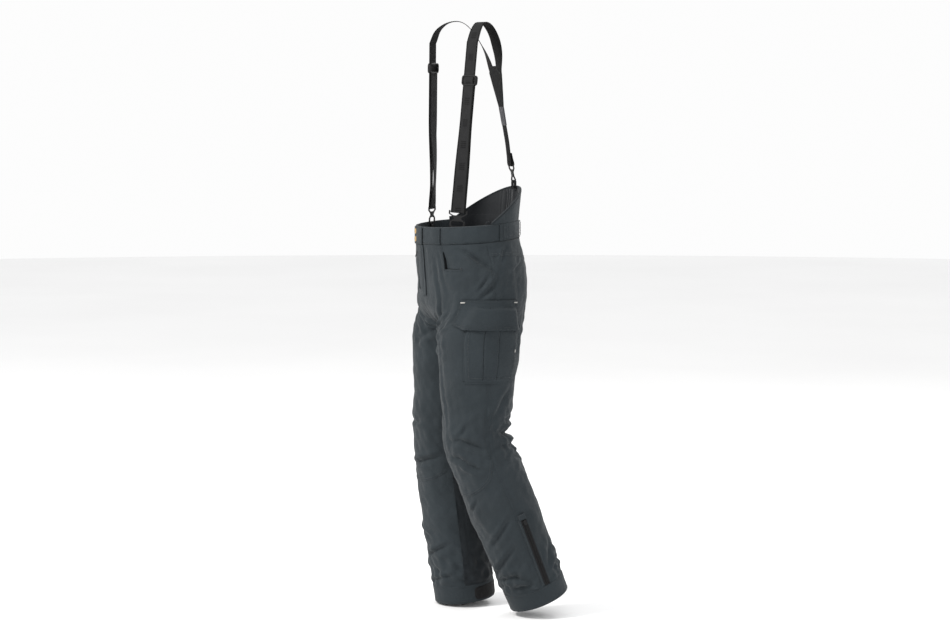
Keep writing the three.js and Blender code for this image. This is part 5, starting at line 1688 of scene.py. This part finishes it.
def add_tabs():
    """The fabric tabs that the three hooks hold on to."""
    for side in SIDES:
        build = Build()
        basis = strap_basis(side, 0)
        under = basis @ Vector((0, 0, -TAB_BELOW_STRAP))
        out = basis.to_3x3().col[1].copy()
        out.z = 0
        tab(build, face_basis(under, out.normalized(), Vector((0, 0, 1))), .022, .022, .0026)
        build.make(f"hook_tab_{side}", ["webbing_black_and_shade"], "trunk", "webbing", [f"hook_tab_{side}"])
    build = Build()
    tab(build, face_basis(Vector(BACK["tab_top"]), Vector((0, 1, 0)), Vector((0, 0, 1))), .020, .020, .0039)
    build.make("back_tab", ["webbing_black_and_shade"], "trunk", "webbing", ["back_tab"])


def cushion_plate(build, outline, thick, basis, plump):
    """A flat pad of the given outline (x, z), thicker in its middle, made by shrinking rings."""
    outline = np.array(outline, float)
    ring = np.vstack([outline, outline[:1]])
    count = max(24, int(lengths(ring)[-1] / .004))
    edge = round_loop(ring, count)
    centre = edge.mean(0)
    steps = [(1, .7), (.985, 1), (.9, 1 + plump * .4), (.7, 1 + plump * .8), (.4, 1 + plump), (.1, 1 + plump)]
    rings = []
    for way in (-1, 1):
        part = []
        for size, height in steps:
            p = centre + (edge - centre) * size
            part.append(np.stack([p[:, 0], np.full(count, way * height * thick / 2), p[:, 1]], -1))
        rings += part[::-1] if way < 0 else part
    rings = np.array(rings)
    build.tube(placed(rings, basis), rings[..., [0, 2, 1]])


def pad_stitch(build, basis, p, q, out, count):
    """A row of stitches between two places (x, z) on a pad's face, `out` from its middle plane."""
    line = placed([(lerp(p[0], q[0], t), out, lerp(p[1], q[1], t)) for t in np.linspace(0, 1, count)], basis)
    way = np.array(basis.to_3x3()) @ np.array([0, math.copysign(1, out), 0])
    thread(build, line, np.repeat(way[None], count, 0), kind=1)


def add_yoke_pad(basis):
    """The pad where the two straps meet, with its quilting."""
    build = Build()
    half, top, end = BACK["elastic"] / 2, BACK["patch_top"], BACK["yoke_end"]
    right = [(half + .003, top), (.030, top + .030), (.0415, top + .062),
             (.0520, end - .020), (.0335, end - .009), (.015, end - .0025)]
    cushion_plate(build, [*right, *[(-x, z) for x, z in right[::-1]]], .0022, basis, .12)
    quilting = [((half - .001, top + .004), (.0475, end - .026)), ((.0475, end - .026), (.014, end - .0105)),
                ((.014, end - .0105), (-half * .2, top + .035)), ((half * .2, top + .004), (.030, end - .022))]
    for way in (-1, 1):
        for p, q in quilting:
            for out in (-.00125, .00125):
                pad_stitch(build, basis, (way * p[0], p[1]), (way * q[0], q[1]), out, 20)
    build.make("suspender_yoke", ["webbing_black_and_shade", "thread"], "suspenders", "elastic", ["suspender_yoke"])


def add_yoke_patch(basis):
    """The patch over the elastic's seam, stitched round its edge and across its corners."""
    build = Build()
    bottom, top = BACK["patch_bottom"], BACK["patch_top"]
    low_half, high_half = BACK["elastic"] / 2 + .001, BACK["elastic"] / 2 + .003
    outline = [(low_half, bottom), (high_half, top + .0008), (-high_half, top + .0008), (-low_half, bottom)]
    cushion_plate(build, outline, .0026, basis, .15)
    low, high = (low_half - .003, bottom + .003), (high_half - .003, top - .003)
    corners = [low, high, (-high[0], high[1]), (-low[0], low[1])]
    for p, q in [*zip(corners, corners[1:] + corners[:1]), (corners[0], corners[2]), (corners[1], corners[3])]:
        for out in (-.00145, .00145):
            pad_stitch(build, basis, p, q, out, 12)
    build.make("yoke_patch", ["patch", "thread_black"], "suspenders", "webbing", ["yoke_patch"])


def add_back_elastic(basis):
    """The elastic: up from its fold, down round the hook's bar and up to the patch."""
    build = Build()
    turn, bar = BACK["bar_turn"], BACK["bar_z"]
    arc = [(np.cos(t) * turn, bar - np.sin(t) * turn) for t in np.linspace(0, np.pi, 11)]
    way = [(.0023, BACK["fold_end"]), (.0026, .066), (turn, bar + .006), *arc,
           (-turn, bar + .006), (-.0024, .066), (-.0016, BACK["fold_end"]), (-.0006, .095),
           (0, .110), (0, .130), (0, BACK["patch_bottom"] + .004)]
    line = placed(curve_through([(0, y, z) for y, z in way], .0028), basis)
    flat_tube(build, line, BACK["elastic"], BACK["thick"], None, across=across_of(basis, len(line)))
    build.make("back_elastic", ["elastic"], "suspenders", "elastic", ["back_elastic"])


# ---------------------------------------------------------------- CAD pieces that stay

def dress_cad(node, material, edge):
    """Gives a CAD piece its finish and rounds its edges."""
    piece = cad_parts[node]
    piece.data.materials.clear()
    piece.data.materials.append(MATERIALS[material])
    piece.modifiers.new("weld", "WELD").merge_threshold = .00001
    soften(piece, edge, 3)


# ---------------------------------------------------------------- assembly

add_camera()
add_studio()
for side_name in SIDES:
    for add_part in (add_upper, add_lower, add_upper_trim, add_lower_trim, add_cuff, add_hem_patch, add_gaiter,
                     add_side_zip, add_cargo_pocket, add_cargo_flap, add_pocket_bag, add_strap):
        add_part(side_name)
    dress_cad(f"front_hook_{side_name}", "plastic", .0007)
    dress_cad(f"side_slider_{side_name}", "plastic", .0005)
add_waistband()
add_raised_back()
add_fly()
add_tabs()
for add_part in (add_yoke_pad, add_yoke_patch, add_back_elastic):
    add_part(back_basis())
dress_cad("back_hook", "plastic", .0007)
dress_cad("fly_slider", "plastic", .0005)
for stud in ("upper", "lower"):
    dress_cad(f"snap_stud_{stud}", "steel", .0002)
